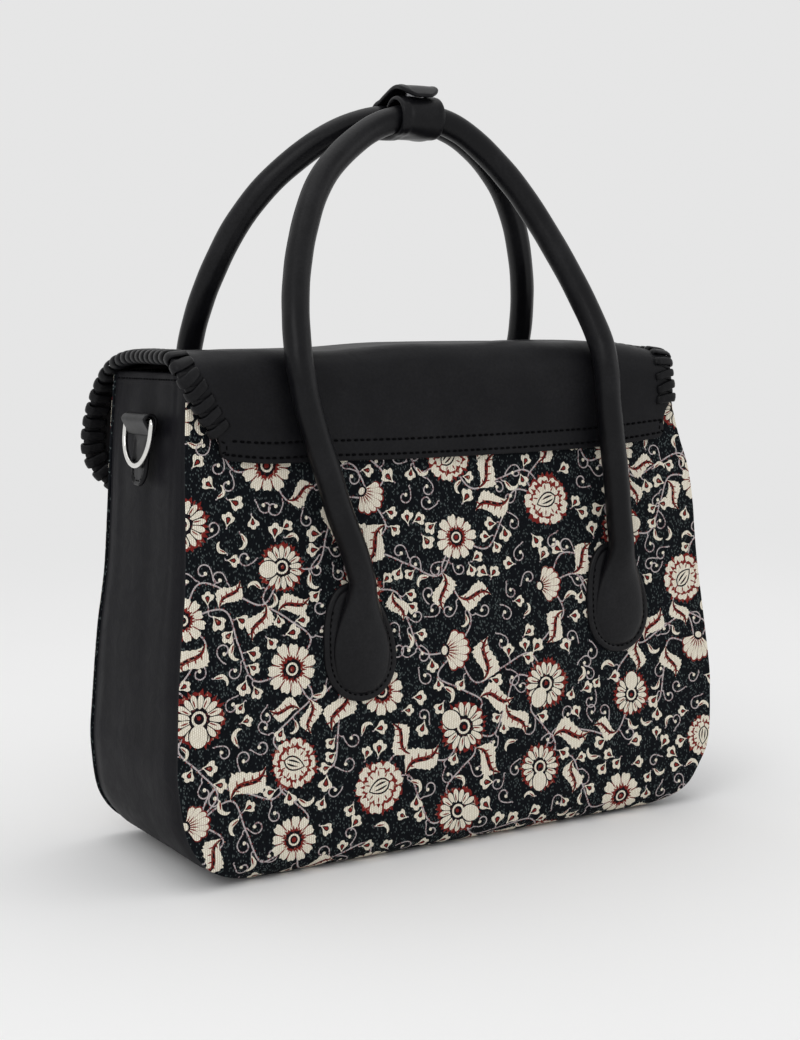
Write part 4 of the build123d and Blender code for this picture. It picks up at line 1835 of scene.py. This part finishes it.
    def across(self, v: Array) -> tuple[Array, Array]:
        """The flap's left and right edges at places along it.

        Args:
            v: Places along.

        Returns:
            Both edges.
        """
        near = np.clip(v - (self.run - self.corner), 0, self.corner)
        cut = self.corner - np.sqrt(np.clip(self.corner**2 - near**2, 0, None))
        return -self.left(v) + cut, self.right(v) - cut

    def edge(self) -> Array:
        """Flat line of the laced edge, from the left end round the front to the right one.

        Returns:
            The points of the line.
        """
        v = np.arange(self.lace_from[0], self.run + 0.01, 0.8)
        left = np.stack([self.across(v)[0], v], 1)
        left = np.vstack([left, [[self.across(np.array([self.run]))[0][0], self.run]]])
        w = np.arange(self.run, self.lace_from[1], -0.8)
        right = np.stack([self.across(w)[1], w], 1)
        return spaced(np.vstack([left, right]), STEP, 2)

    def leather(self, finishes: Finishes) -> list[bpy.types.Object]:
        """Makes the outer layer with its two stitched rows, and the facing.

        Args:
            finishes: The bag's finishes.

        Returns:
            The outer layer and the facing.
        """
        fine = np.arange(1.6, 12.6, 0.45)
        rows = np.unique(np.round(np.concatenate([edge_rows(self.run, 3.0, self.layer / 2), fine]), 3))

        def grooves(u: Array, v: Array) -> Array:
            """Grooves of the two seams, with the leather swollen between them."""
            return -0.42 * sum(hill(row, 0.6, v) for row in self.rows) + 0.18 * hill(6.6, 2.4, v)

        made = []
        for name, node, centre, finish in (("flap_leather_outer", "flap_outer", 0.75, finishes.flap),
                                           ("flap_leather_facing", "flap_facing", -0.75, finishes.facing)):
            draft = Draft(name)
            draft.sheet(lambda u, v, n, c=centre: self.place(u, v, n + c), self.across, rows, 104, self.layer / 2,
                        grooves if centre > 0 else None)
            if centre > 0:
                self.stitches(draft)
            made.append(draft.build([finish, finishes.thread], stands_for=[node]))
        return made

    def stitches(self, draft: Draft) -> None:
        """Adds the two rows of stitches along the sewn edge, joined at both ends.

        Args:
            draft: Piece that takes it.
        """
        low, high = self.rows
        left, right = self.row_ends
        loop = [(x, high) for x in (left + 3, -60, 0, 60, right - 3)] + [(right, high - 2), (right, low + 2)]
        loop += [(x, low) for x in (right - 3, 60, 0, -60, left + 3)] + [(left, low + 2), (left, high - 2)]
        flat = spaced(drawn_line(loop, True, 10), 1.0, 2)
        sewn(draft, self.place, flat[:, 0], flat[:, 1], self.layer - 0.1, 2.8, 0.9, 0.46)

    def lace(self, finishes: Finishes) -> bpy.types.Object:
        """Makes the lace: slanted straps over the edge, straps that cross in the gaps, and dark patches at the slits
        that paint their shadow.

        Args:
            finishes: The bag's finishes.

        Returns:
            The lace.
        """
        edge = self.edge()
        count = round(STEP * (len(edge) - 1) / self.lace_pitch)
        pitch = STEP * (len(edge) - 1) / count
        draft = Draft("flap_lace")
        chance = random.Random(5)
        smooth = smoothed(heading(edge), 6)
        for index in range(count + 1):
            jog = chance.uniform(-0.4, 0.4)
            at, middle = (min(int((index + part) * pitch / STEP), len(edge) - 1) for part in (0, 0.5))
            if index < count:
                reach, slant = 8.4 + jog, 0.24 + 0.06 * jog
                self.strap(draft, edge[middle], smooth[middle], Strip(reach, 5.5, 1.6, 2.75, slant), chance)
                self.slit(draft, edge[middle], smooth[middle], reach + 0.3, 0.27)
            if 0 < index < count:
                self.strap(draft, edge[at], smooth[at], Strip(6.6, 3.6, 0.8, 1.45, -0.5), chance)
        return draft.build([finishes.lace, finishes.edge], stands_for=["edge_lace"], angle=65)

    def strap(self, draft: Draft, at: Array, ahead: Array, strip: Strip, chance: random.Random) -> None:
        """Adds one strap that goes round the flap's edge.

        Args:
            draft: Piece that takes the strap.
            at: Flat place on the edge.
            ahead: Flat direction along the edge.
            strip: Sizes of the strap.
            chance: Source of the small differences between turns.
        """
        reach, rise = strip.reach, strip.rise
        inward = np.array([ahead[1], -ahead[0]])
        runs = [(reach + 0.3, rise - 1.6), (reach, rise - 0.75), (reach - 0.9, rise - 0.1), (reach * 0.6, rise),
                (reach * 0.3, rise + 0.12)]
        path = np.vstack([runs, arc((0, 0), rise, 90, 270, 9), [(a, -n) for a, n in runs[::-1]]])
        path = spaced(drawn_line(path, per=3), 1.0, 2)
        a, n = path[:, 0], path[:, 1]
        inside = np.clip(a, 0, None)
        along = np.where(n > 0, strip.slant * inside, 0.0) + chance.uniform(-0.15, 0.15) * inside / 4
        cross = heading(path)
        t = full_turn(12)
        taper = 1 - 0.16 * eased(0.5 * reach, reach, a)
        wide = strip.width / 2 * taper[:, None] * np.sign(np.cos(t)) * np.abs(np.cos(t)) ** 0.6
        deep = strip.thick / 2 * np.sign(np.sin(t)) * np.abs(np.sin(t)) ** 0.65
        deep = np.broadcast_to(deep, wide.shape) + 0.16 * (1 - (2 * wide / strip.width) ** 2)
        a = a[:, None] + cross[:, 1:] * deep
        n = n[:, None] - cross[:, :1] * deep
        u, v = (at[k] + inward[k] * a + ahead[k] * (along[:, None] + wide) for k in range(2))
        draft.tube(self.place(u, v, n))

    def slit(self, draft: Draft, at: Array, ahead: Array, reach: float, slant: float) -> None:
        """Adds a dark patch on the flap, the painted shadow of the slit that a strap goes into.

        Args:
            draft: Piece that takes it.
            at: Flat place on the edge.
            ahead: Flat direction along the edge.
            reach: How far in it lies.
            slant: Slope against the edge.
        """
        inward = np.array([ahead[1], -ahead[0]])
        t = full_turn(14)
        rings = []
        for share, height in ((1.0, self.layer - 0.25), (1.0, self.layer + 0.02), (0.2, self.layer + 0.03)):
            a = reach + 0.55 * share * np.sin(t)
            s = slant * reach + 3.2 * share * np.cos(t)
            u, v = (at[k] + inward[k] * a + ahead[k] * s for k in range(2))
            rings.append(self.place(u, v, np.full(14, height)))
        # A thin dark lens on the flap's face: painted shadow of the slit.
        draft.tube(np.stack(rings), SEAM_AND_SHADOW)


@dataclass
class Handle:
    """A rolled handle: a padded, stitched paddle at each end and a seam along its inner side."""

    form: BagForm
    side: int
    name: str
    node: str
    legs: Sequence[Sequence[float]]
    feet: Sequence[tuple[float, float]] = ((-60.25, 105.0), (101.25, 113.0))
    radius: float = 7.0
    step: float = 2.4
    wing: Sequence[tuple[float, float]] = (
        (0, -20.3), (8.5, -18.5), (16, -12.5), (20, -3.5), (20.3, 6), (18.6, 15), (15, 24), (11, 32), (8, 38),
        (0, 41), (-8.5, 39.5), (-13.5, 36), (-17.3, 29.5), (-19.7, 20), (-20.6, 8), (-20.2, -3), (-16.4, -12),
        (-9, -18.3),
    )
    pad: Sequence[Sequence[float]] = (
        (-16.6, 1.5, 3.0, 0.9), (-15.2, 1.8, 7.4, 1.9), (-11, 2.1, 12.0, 2.9), (-4, 2.4, 15.2, 3.8),
        (4, 2.8, 16.0, 4.4), (13, 3.2, 15.0, 4.9), (22, 4.2, 12.2, 5.5), (30, 5.8, 9.2, 6.3), (37, 6.9, 7.5, 6.9),
    )

    def line(self) -> Array:
        """Middle line with half width and half height, from the left paddle to the right one.

        Returns:
            Rows of place, half width and half height.
        """
        rows = []
        for x, z in self.feet:
            part = []
            for up, height, wide, high in self.pad:
                spot = self.form.on_wall(self.side, np.array([x]), np.array([z + up]), np.array([height]))[0]
                part.append([*spot, wide, high])
            rows.append(part)
        middle = [[x, y, z, self.radius, self.radius] for x, y, z in self.legs]
        return spaced(drawn_line(rows[0] + middle + rows[1][::-1]), self.step)

    def tube(self, draft: Draft) -> None:
        """Adds the rolled tube with its seam, small creases and padded ends.

        Args:
            draft: Piece that takes it.
        """
        line = self.line()
        gone = self.step * np.arange(len(line))
        toward = np.array([0, self.side, 0.12])
        inner = 1.5 * math.pi

        def shape(turn: Array, index: Array) -> Array:
            """Share of the radius: the seam's groove, and wrinkles along the tube.

            Args:
                turn: Angles round the tube.
                index: Numbers of the points along it.

            Returns:
                The shares.
            """
            far = np.abs((turn - inner + math.pi) % (2 * math.pi) - math.pi)
            seam = -0.055 * np.exp(-((far / 0.10) ** 2)) + 0.03 * np.exp(-(((far - 0.26) / 0.13) ** 2))
            run = gone[index.astype(int)]
            wrinkle = 0.007 * np.sin(run / 3.7 + 1.5 * np.sin(run / 31) + 2 * turn) + 0.006 * np.sin(run / 9 - turn)
            return 1 + seam + wrinkle

        draft.tube(ring_sections(line[:, :3], line[:, 3], line[:, 4], toward, 32, shape))

    def outline(self) -> Array:
        """Outline of a paddle's wing, counter-clockwise, about its round middle."""
        loop = drawn_line(self.wing, True, 8)
        return spaced(np.vstack([loop, loop[:1]]), 1.5, 2)[:-1]

    def paddle(self, draft: Draft, foot: tuple[float, float]) -> None:
        """Adds one flat stitched wing on the panel.

        Args:
            draft: Piece that takes it.
            foot: Middle of its round part, across and up.
        """
        loop = self.outline()
        rings = [(6.0, 0.1), (0.5, 0.1), (0.1, 0.35), (0.0, 0.9), (0.15, 1.5), (0.5, 2.1), (1.1, 2.5), (2.2, 2.6),
                 (2.9, 2.4), (3.3, 2.1), (3.8, 2.4), (4.8, 2.9), (6.5, 3.1)]

        def place(u: Array, v: Array, n: Array) -> Array:
            """A place over the panel, from the foot."""
            return self.form.on_wall(self.side, foot[0] + u, foot[1] + v, n)

        mesh = []
        for inward, height in rings:
            flat = offset_loop(loop, inward)
            mesh.append(place(flat[:, 0], flat[:, 1], np.full(len(flat), height)))
        draft.tube(np.stack(mesh))
        seam = offset_loop(loop, 3.3)
        seam = np.roll(seam, -int(np.argmax(seam[:, 1])), 0)
        seam = seam[seam[:, 1] < 27]
        sewn(draft, place, seam[:, 0], seam[:, 1], 2.25, 2.3, 0.9, 0.36)

    def build(self, finishes: Finishes) -> bpy.types.Object:
        """Makes the handle.

        Args:
            finishes: The bag's finishes.

        Returns:
            The handle with both paddles.
        """
        draft = Draft(self.name)
        self.tube(draft)
        for foot in self.feet:
            self.paddle(draft, foot)
        return draft.build([finishes.handle, finishes.thread], stands_for=[self.node], angle=70)


@dataclass
class Keeper:
    """The strap sewn round the near handle, taken under the far one and closed on top."""

    centre: float = 8.0
    width: float = 26.0
    thick: float = 2.2
    y: float = 9.75
    z: float = 385.25
    radius: float = 9.35
    end: float = 9.5
    bend: float = 11.4

    def line(self) -> Array:
        """Side line of the strap, from its sewn start to its rounded free end.

        Returns:
            The points of the line.
        """
        loop = arc((-self.y, self.z), self.radius, 35, 262, 30)
        under = [(-4, self.z - self.radius - 0.9), (3, self.z - self.radius - 0.8)]
        far = arc((self.y, self.z), self.radius, -80, 88, 22)
        over = [(3.5, self.z + 12.0), (-6.5, self.z + 15.2), (-14.6, self.z + 13.9), (-20.6, self.z + 9.2)]
        return spaced(drawn_line(np.vstack([loop, under, far, over]), per=4), 1.0, 2)

    def build(self, finishes: Finishes) -> bpy.types.Object:
        """Makes the keeper strap.

        Args:
            finishes: The bag's finishes.

        Returns:
            The strap.
        """
        line = self.line()
        run = float(len(line) - 1)
        path = Path(line, np.arange(len(line), dtype=float))

        def place(u: Array, v: Array, n: Array) -> Array:
            """Puts width u, run v and height n into the bag, with soft folds.

            Args:
                u: Places across.
                v: Places along.
                n: Heights over the middle of the sheet.

            Returns:
                The points in the bag.
            """
            y, z, ay, az = path.at(v)
            bow = -u**2 / 130 * eased(0, 6, run - v) * 0.35
            fold = 0.5 * hill(-8.5, 1.3, u) + 0.35 * hill(-11.2, 1.0, u) + 0.3 * hill(10.5, 1.2, u)
            sag = 1.5 * hill(0.2 * run, 6, v - 0.1 * run) * hill(4, 9, u)
            out = n + np.where(n > 0, fold, 0) + 0.4 * np.sin(v / 3.1 + u / 6) * hill(0.32 * run, 9, v)
            return np.stack([self.centre + u, y + az * out, z - ay * out + bow - sag], -1)

        def across(v: Array) -> tuple[Array, Array]:
            """Both edges of the strap, with its round free end.

            Args:
                v: Places along.

            Returns:
                Both edges.
            """
            half = self.width / 2 - 1.6 * eased(0.55 * run, 0.75 * run, v)
            end = np.clip(v - (run - self.end), 0, self.end)
            half = half - self.bend + np.sqrt(np.clip(self.bend**2 - (end * 1.15) ** 2, 0, None))
            return -half, half

        draft = Draft("keeper_leather")
        draft.sheet(place, across, edge_rows(run, 1.6, self.thick / 2), 26, self.thick / 2)
        return draft.build([finishes.handle], stands_for=["keeper_strap"], angle=60)


@dataclass
class SideRing:
    """The nickel ring on a gusset and its folded leather tab."""

    side: int
    word: str
    origin: tuple[float, float, float] = (148.917, -5.0, 229.0)
    tilt: float = 0.14318
    wire: float = 1.4
    inside: float = 32.0
    arm: float = 5.5
    tab: float = 1.8
    fold: float = 7.0
    tongue: float = 33.0
    tip: float = 9.6
    clear: float = 0.3
    play: float = 0.8
    step: float = 0.8

    def frame(self) -> Matrix:
        """Matrix from the tab's own frame, in millimetres, to the bag's.

        Returns:
            The matrix.
        """
        z = Vector((self.side * math.sqrt(1 - self.tilt**2), 0, self.tilt))
        x = Vector((0, self.side, 0))
        y = z.cross(x)
        spot = Vector((self.side * self.origin[0], self.origin[1], self.origin[2]))
        return Matrix.Translation(spot) @ Matrix((x, y, z)).transposed().to_4x4()

    def placed(self, points: Array) -> Array:
        """Points of the tab's frame put into the bag."""
        m = np.array(self.frame())
        return points @ m[:3, :3].T + m[:3, 3]

    def ring(self, finishes: Finishes) -> bpy.types.Object:
        """Makes the ring of round wire.

        Args:
            finishes: The bag's finishes.

        Returns:
            The ring.
        """
        centre = self.clear + self.tab + self.play + self.wire
        half, bend = self.inside / 2 + self.wire, 2.2
        bar = np.linspace(-half + bend, half - bend, 16)
        flat = np.vstack([
            np.stack([bar, np.zeros(16)], 1), arc((half - bend, -bend), bend, 90, 0, 8)[1:],
            arc((0, -self.arm), half, 0, -180, 48), arc((bend - half, -bend), bend, 180, 90, 8)[:-1],
        ])
        ahead = unit(np.roll(flat, -1, 0) - np.roll(flat, 1, 0))
        aside = np.stack([ahead[:, 1], -ahead[:, 0]], 1)
        t = full_turn(20)
        rings = np.zeros((len(flat), 20, 3))
        rings[..., :2] = flat[:, None] + self.wire * np.cos(t)[None, :, None] * aside[:, None]
        rings[..., 2] = centre + self.wire * np.sin(t)
        draft = Draft(f"ring_wire_{self.word}")
        draft.tube(self.placed(rings.reshape(-1, 3)).reshape(rings.shape), loop=True)
        return draft.build([finishes.nickel], f"ring_{self.word}", [f"dring_{self.word}"], "nickel")

    def leather(self, finishes: Finishes) -> bpy.types.Object:
        """Makes the tab: folded over the ring's bar, with a round stitched tongue.

        Args:
            finishes: The bag's finishes.

        Returns:
            The tab.
        """
        centre = self.tab + self.play + self.wire
        bend = arc((centre, 0), centre - self.tab / 2, 0, 180, 22)
        tip = np.array([(self.tab * 1.35, -self.fold), (self.tab * 1.6 + 1.2, -self.fold * 0.6)])
        back = np.array([(self.tab / 2, -k) for k in (4, 12, 20, self.tongue)])
        line = spaced(drawn_line(np.vstack([tip, bend, back]), per=6), self.step, 2)
        marks = self.step * np.arange(len(line))
        marks *= np.sum(np.linalg.norm(np.diff(line, axis=0), axis=1)) / marks[-1]
        run = float(marks[-1])
        path = Path(line, marks)
        wide = self.inside / 2 - 0.5

        def place(u: Array, v: Array, n: Array) -> Array:
            """Puts width u, run v and height n into the bag.

            Args:
                u: Places across.
                v: Places along.
                n: Heights over the middle of the sheet.

            Returns:
                The points in the bag.
            """
            z, y, az, ay = path.at(v)
            flat = np.stack([u, y - az * n, self.clear + z + ay * n], -1)
            return self.placed(flat.reshape(-1, 3)).reshape(flat.shape)

        def across(v: Array) -> tuple[Array, Array]:
            """Both edges of the tab: wide round the bar, then the tongue with its round tip.

            Args:
                v: Places along.

            Returns:
                Both edges.
            """
            low = run - v
            neck = wide + (self.tip - wide) * eased(run - 30, run - 22, v)
            end = np.sqrt(np.clip(self.tip**2 - np.clip(self.tip - low, 0, self.tip) ** 2, 0.3, None))
            half = np.where(low < self.tip, end, neck)
            return -half, half

        def rim(u: Array, v: Array) -> Array:
            """Raised rim and stitch groove of the tongue.

            Args:
                u: Places across.
                v: Places along.

            Returns:
                The extra heights.
            """
            high = across(v[:, 0])[1][:, None]
            gap = np.minimum(high - np.abs(u), run - v)
            sewn = eased(run - 27, run - 22, v)
            return sewn * (0.7 * hill(1.0, 0.9, gap) - 0.3 * hill(2.6, 0.5, gap) + 0.12 * eased(3.2, 6.5, gap))

        draft = Draft(f"ring_tab_leather_{self.word}")
        half = self.tab / 2
        draft.sheet(lambda u, v, n: place(u, v, -n), across, edge_rows(run, 0.9, half), 26, half, rim)
        radius = self.tip - 2.6
        down = np.linspace(-self.tongue + 16, -self.tongue + 9.2, 8)
        seam = np.vstack([
            np.stack([np.full(8, radius), down], 1), arc((0, self.tip - self.tongue), radius, 0, -180, 24),
            np.stack([np.full(8, -radius), down[::-1]], 1),
        ])
        face = self.clear + self.tab - 0.15
        spots, above = (self.placed(np.column_stack([seam, np.full(len(seam), face + n)])) for n in (0, 1))
        stitch_row(draft, spots, above - spots, 1.9, 0.8, 0.3)
        return draft.build([finishes.handle, finishes.thread], stands_for=[f"dring_tab_{self.word}"], angle=60)


@dataclass
class Studio:
    """Pale floor, soft light and the camera at the photo's angle."""

    target: tuple[float, float, float] = (-1.0, 0.0, 167.9)
    azimuth: float = -29.47
    elevation: float = 6.24
    roll: float = -1.18
    distance: float = 990.0
    lens: float = 81.0
    sensor: float = 36.0
    pale: float = 0.79
    floor_radius: float = 40.0
    fade: tuple[float, float] = (0.32, 1.5)
    lit: tuple[float, float, float] = (0.0, 0.0, 0.15)
    lamps: Sequence[tuple] = (
        ("key", (-1.3, -1.1, 1.5), 1.0, 6.5), ("top", (0.1, 0.2, 1.8), 1.4, 5.0),
        ("side", (1.5, -1.0, 0.7), 0.8, 1.8),
    )

    def floor(self) -> None:
        """Makes the floor, which fades into the background far from the bag."""
        mesh = bpy.data.meshes.new("floor")
        t = full_turn(64)
        points = [(self.floor_radius * math.cos(a), self.floor_radius * math.sin(a), 0.0) for a in t]
        mesh.from_pydata(points, [], [list(range(64))])
        bench = Bench("floor_paper")
        place = bench.place()
        far = bench.node("ShaderNodeVectorMath", {0: place}, operation="LENGTH").outputs["Value"]
        grain = bench.noise(place, 3.0, 2.0)
        bench.join(bench.mixed(grain, (0.885, 0.885, 0.885, 1), (0.905, 0.905, 0.905, 1)), "Base Color")
        bench.fixed(Roughness=0.9, Specular_IOR_Level=0.1)
        glow = bench.node("ShaderNodeEmission", {"Color": (self.pale, self.pale, self.pale, 1)})
        share = bench.spread(far, *self.fade, 0.0, 1.0)
        mix = bench.node("ShaderNodeMixShader", {0: share, 1: bench.shader.outputs[0], 2: glow.outputs[0]})
        end = bench.tree.nodes["Material Output"]
        bench.tree.links.new(mix.outputs[0], end.inputs["Surface"])
        mesh.materials.append(bench.material)
        shown("floor", mesh)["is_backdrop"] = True

    def lights(self) -> None:
        """Makes the background light and the soft boxes."""
        world = bpy.data.worlds.new("studio")
        world.use_nodes = True
        bpy.context.scene.world = world
        back = world.node_tree.nodes["Background"]
        back.inputs[0].default_value = (self.pale, self.pale, self.pale, 1)
        back.inputs[1].default_value = 1.0
        for name, spot, size, power in self.lamps:
            light = bpy.data.lights.new(name, "AREA")
            light.size = size
            light.energy = power
            made = shown(name, light)
            made.location = spot
            made.rotation_euler = (Vector(self.lit) - Vector(spot)).to_track_quat("-Z", "Y").to_euler()

    def camera(self) -> None:
        """Makes the camera where the photo was taken."""
        a, e, r = (math.radians(x) for x in (self.azimuth, self.elevation, self.roll))
        back = Vector((math.sin(a) * math.cos(e), -math.cos(a) * math.cos(e), math.sin(e)))
        right = Vector((math.cos(a), math.sin(a), 0))
        up = back.cross(right)
        turned = right * math.cos(r) + up * math.sin(r), up * math.cos(r) - right * math.sin(r)
        data = bpy.data.cameras.new("camera")
        data.sensor_fit = "HORIZONTAL"
        data.sensor_width = self.sensor
        data.lens = self.lens
        made = shown("camera", data)
        rotation = Matrix((turned[0], turned[1], back)).transposed()
        spot = Vector(self.target) * MM + back * self.distance * MM
        made.matrix_world = Matrix.Translation(spot) @ rotation.to_4x4()
        bpy.context.scene.camera = made

    def build(self) -> None:
        """Sets the stage."""
        self.camera()
        self.floor()
        self.lights()
        bpy.context.scene.view_settings.view_transform = "Standard"


NEAR_LEGS = (
    (-60.3, -65.0, 147), (-64.6, -65.3, 162), (-72.3, -65.6, 182), (-77.8, -65.8, 200), (-83.2, -66.0, 216),
    (-88.2, -66.4, 233), (-91.2, -66.2, 248), (-91.6, -62.6, 262), (-89.4, -56.4, 278), (-85.2, -49.0, 294),
    (-79.0, -41.2, 311), (-71.0, -33.2, 327), (-61.0, -25.4, 343), (-49.5, -19.0, 356), (-34.0, -13.8, 368.5),
    (-15.0, -10.2, 379.5), (8.0, -9.0, 385.8), (24.0, -9.8, 383), (37.0, -12.4, 376.5), (49.5, -17.4, 364.5),
    (61.0, -24.4, 348.5), (70.5, -32.4, 330), (78.5, -41.6, 309.5), (86.0, -51.0, 287), (90.8, -60.0, 266),
    (91.6, -65.2, 250), (92.2, -66.2, 232), (94.8, -66.0, 210), (97.6, -65.6, 188), (99.6, -65.2, 168),
    (101.2, -64.8, 155),
)
FAR_LEGS = (
    (-61.3, 66.0, 148), (-67.0, 70.6, 162), (-74.5, 75.0, 180), (-82.0, 75.6, 198), (-88.2, 74.2, 216),
    (-92.8, 71.6, 233), (-95.6, 68.4, 250), (-95.4, 60.8, 270), (-92.4, 51.4, 291), (-86.4, 42.6, 311),
    (-78.2, 34.4, 330), (-66.6, 26.2, 347.5), (-52.0, 19.4, 362), (-34.0, 13.6, 375), (-13.0, 10.2, 383.5),
    (8.0, 9.0, 386), (30.0, 9.8, 384.2), (50.0, 12.8, 377), (69.0, 18.4, 365), (85.5, 25.4, 349.5),
    (98.5, 33.6, 331), (108.0, 42.2, 311), (115.2, 51.4, 291), (119.4, 60.6, 270), (119.6, 68.2, 250),
    (117.2, 72.0, 232), (113.6, 74.6, 212), (109.6, 75.4, 192), (105.6, 72.6, 173), (102.4, 67.6, 157),
)


def main() -> None:
    """Builds the satchel's pieces in order and reports each."""
    logging.basicConfig(level=logging.INFO, format="%(name)s %(message)s")
    Studio().build()
    finishes = Finishes()
    form = BagForm()
    WovenPanel(form, -1, 11, "back_tapestry", "back_panel").build(finishes)
    WovenPanel(form, 1, 23, "front_tapestry", "front_panel").build(finishes)
    Gusset(form, -1, "gusset_leather_left", "gusset_left").build(finishes)
    Gusset(form, 1, "gusset_leather_right", "gusset_right").build(finishes)
    under = Underside(form)
    under.base(finishes)
    under.lining(finishes)
    under.dress_nodes(finishes)
    flap = Flap(form)
    flap.leather(finishes)
    flap.lace(finishes)
    Handle(form, -1, "handle_leather_back", "handle_back", NEAR_LEGS).build(finishes)
    Handle(form, 1, "handle_leather_front", "handle_front", FAR_LEGS).build(finishes)
    Keeper().build(finishes)
    for side, word in ((-1, "left"), (1, "right")):
        ring = SideRing(side, word)
        ring.ring(finishes)
        ring.leather(finishes)
    total = sum(len(o.data.loop_triangles) or len(o.data.polygons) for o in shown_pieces())
    LOG.info("faces in all: %d", total)


if __name__ == "__main__":
    main()
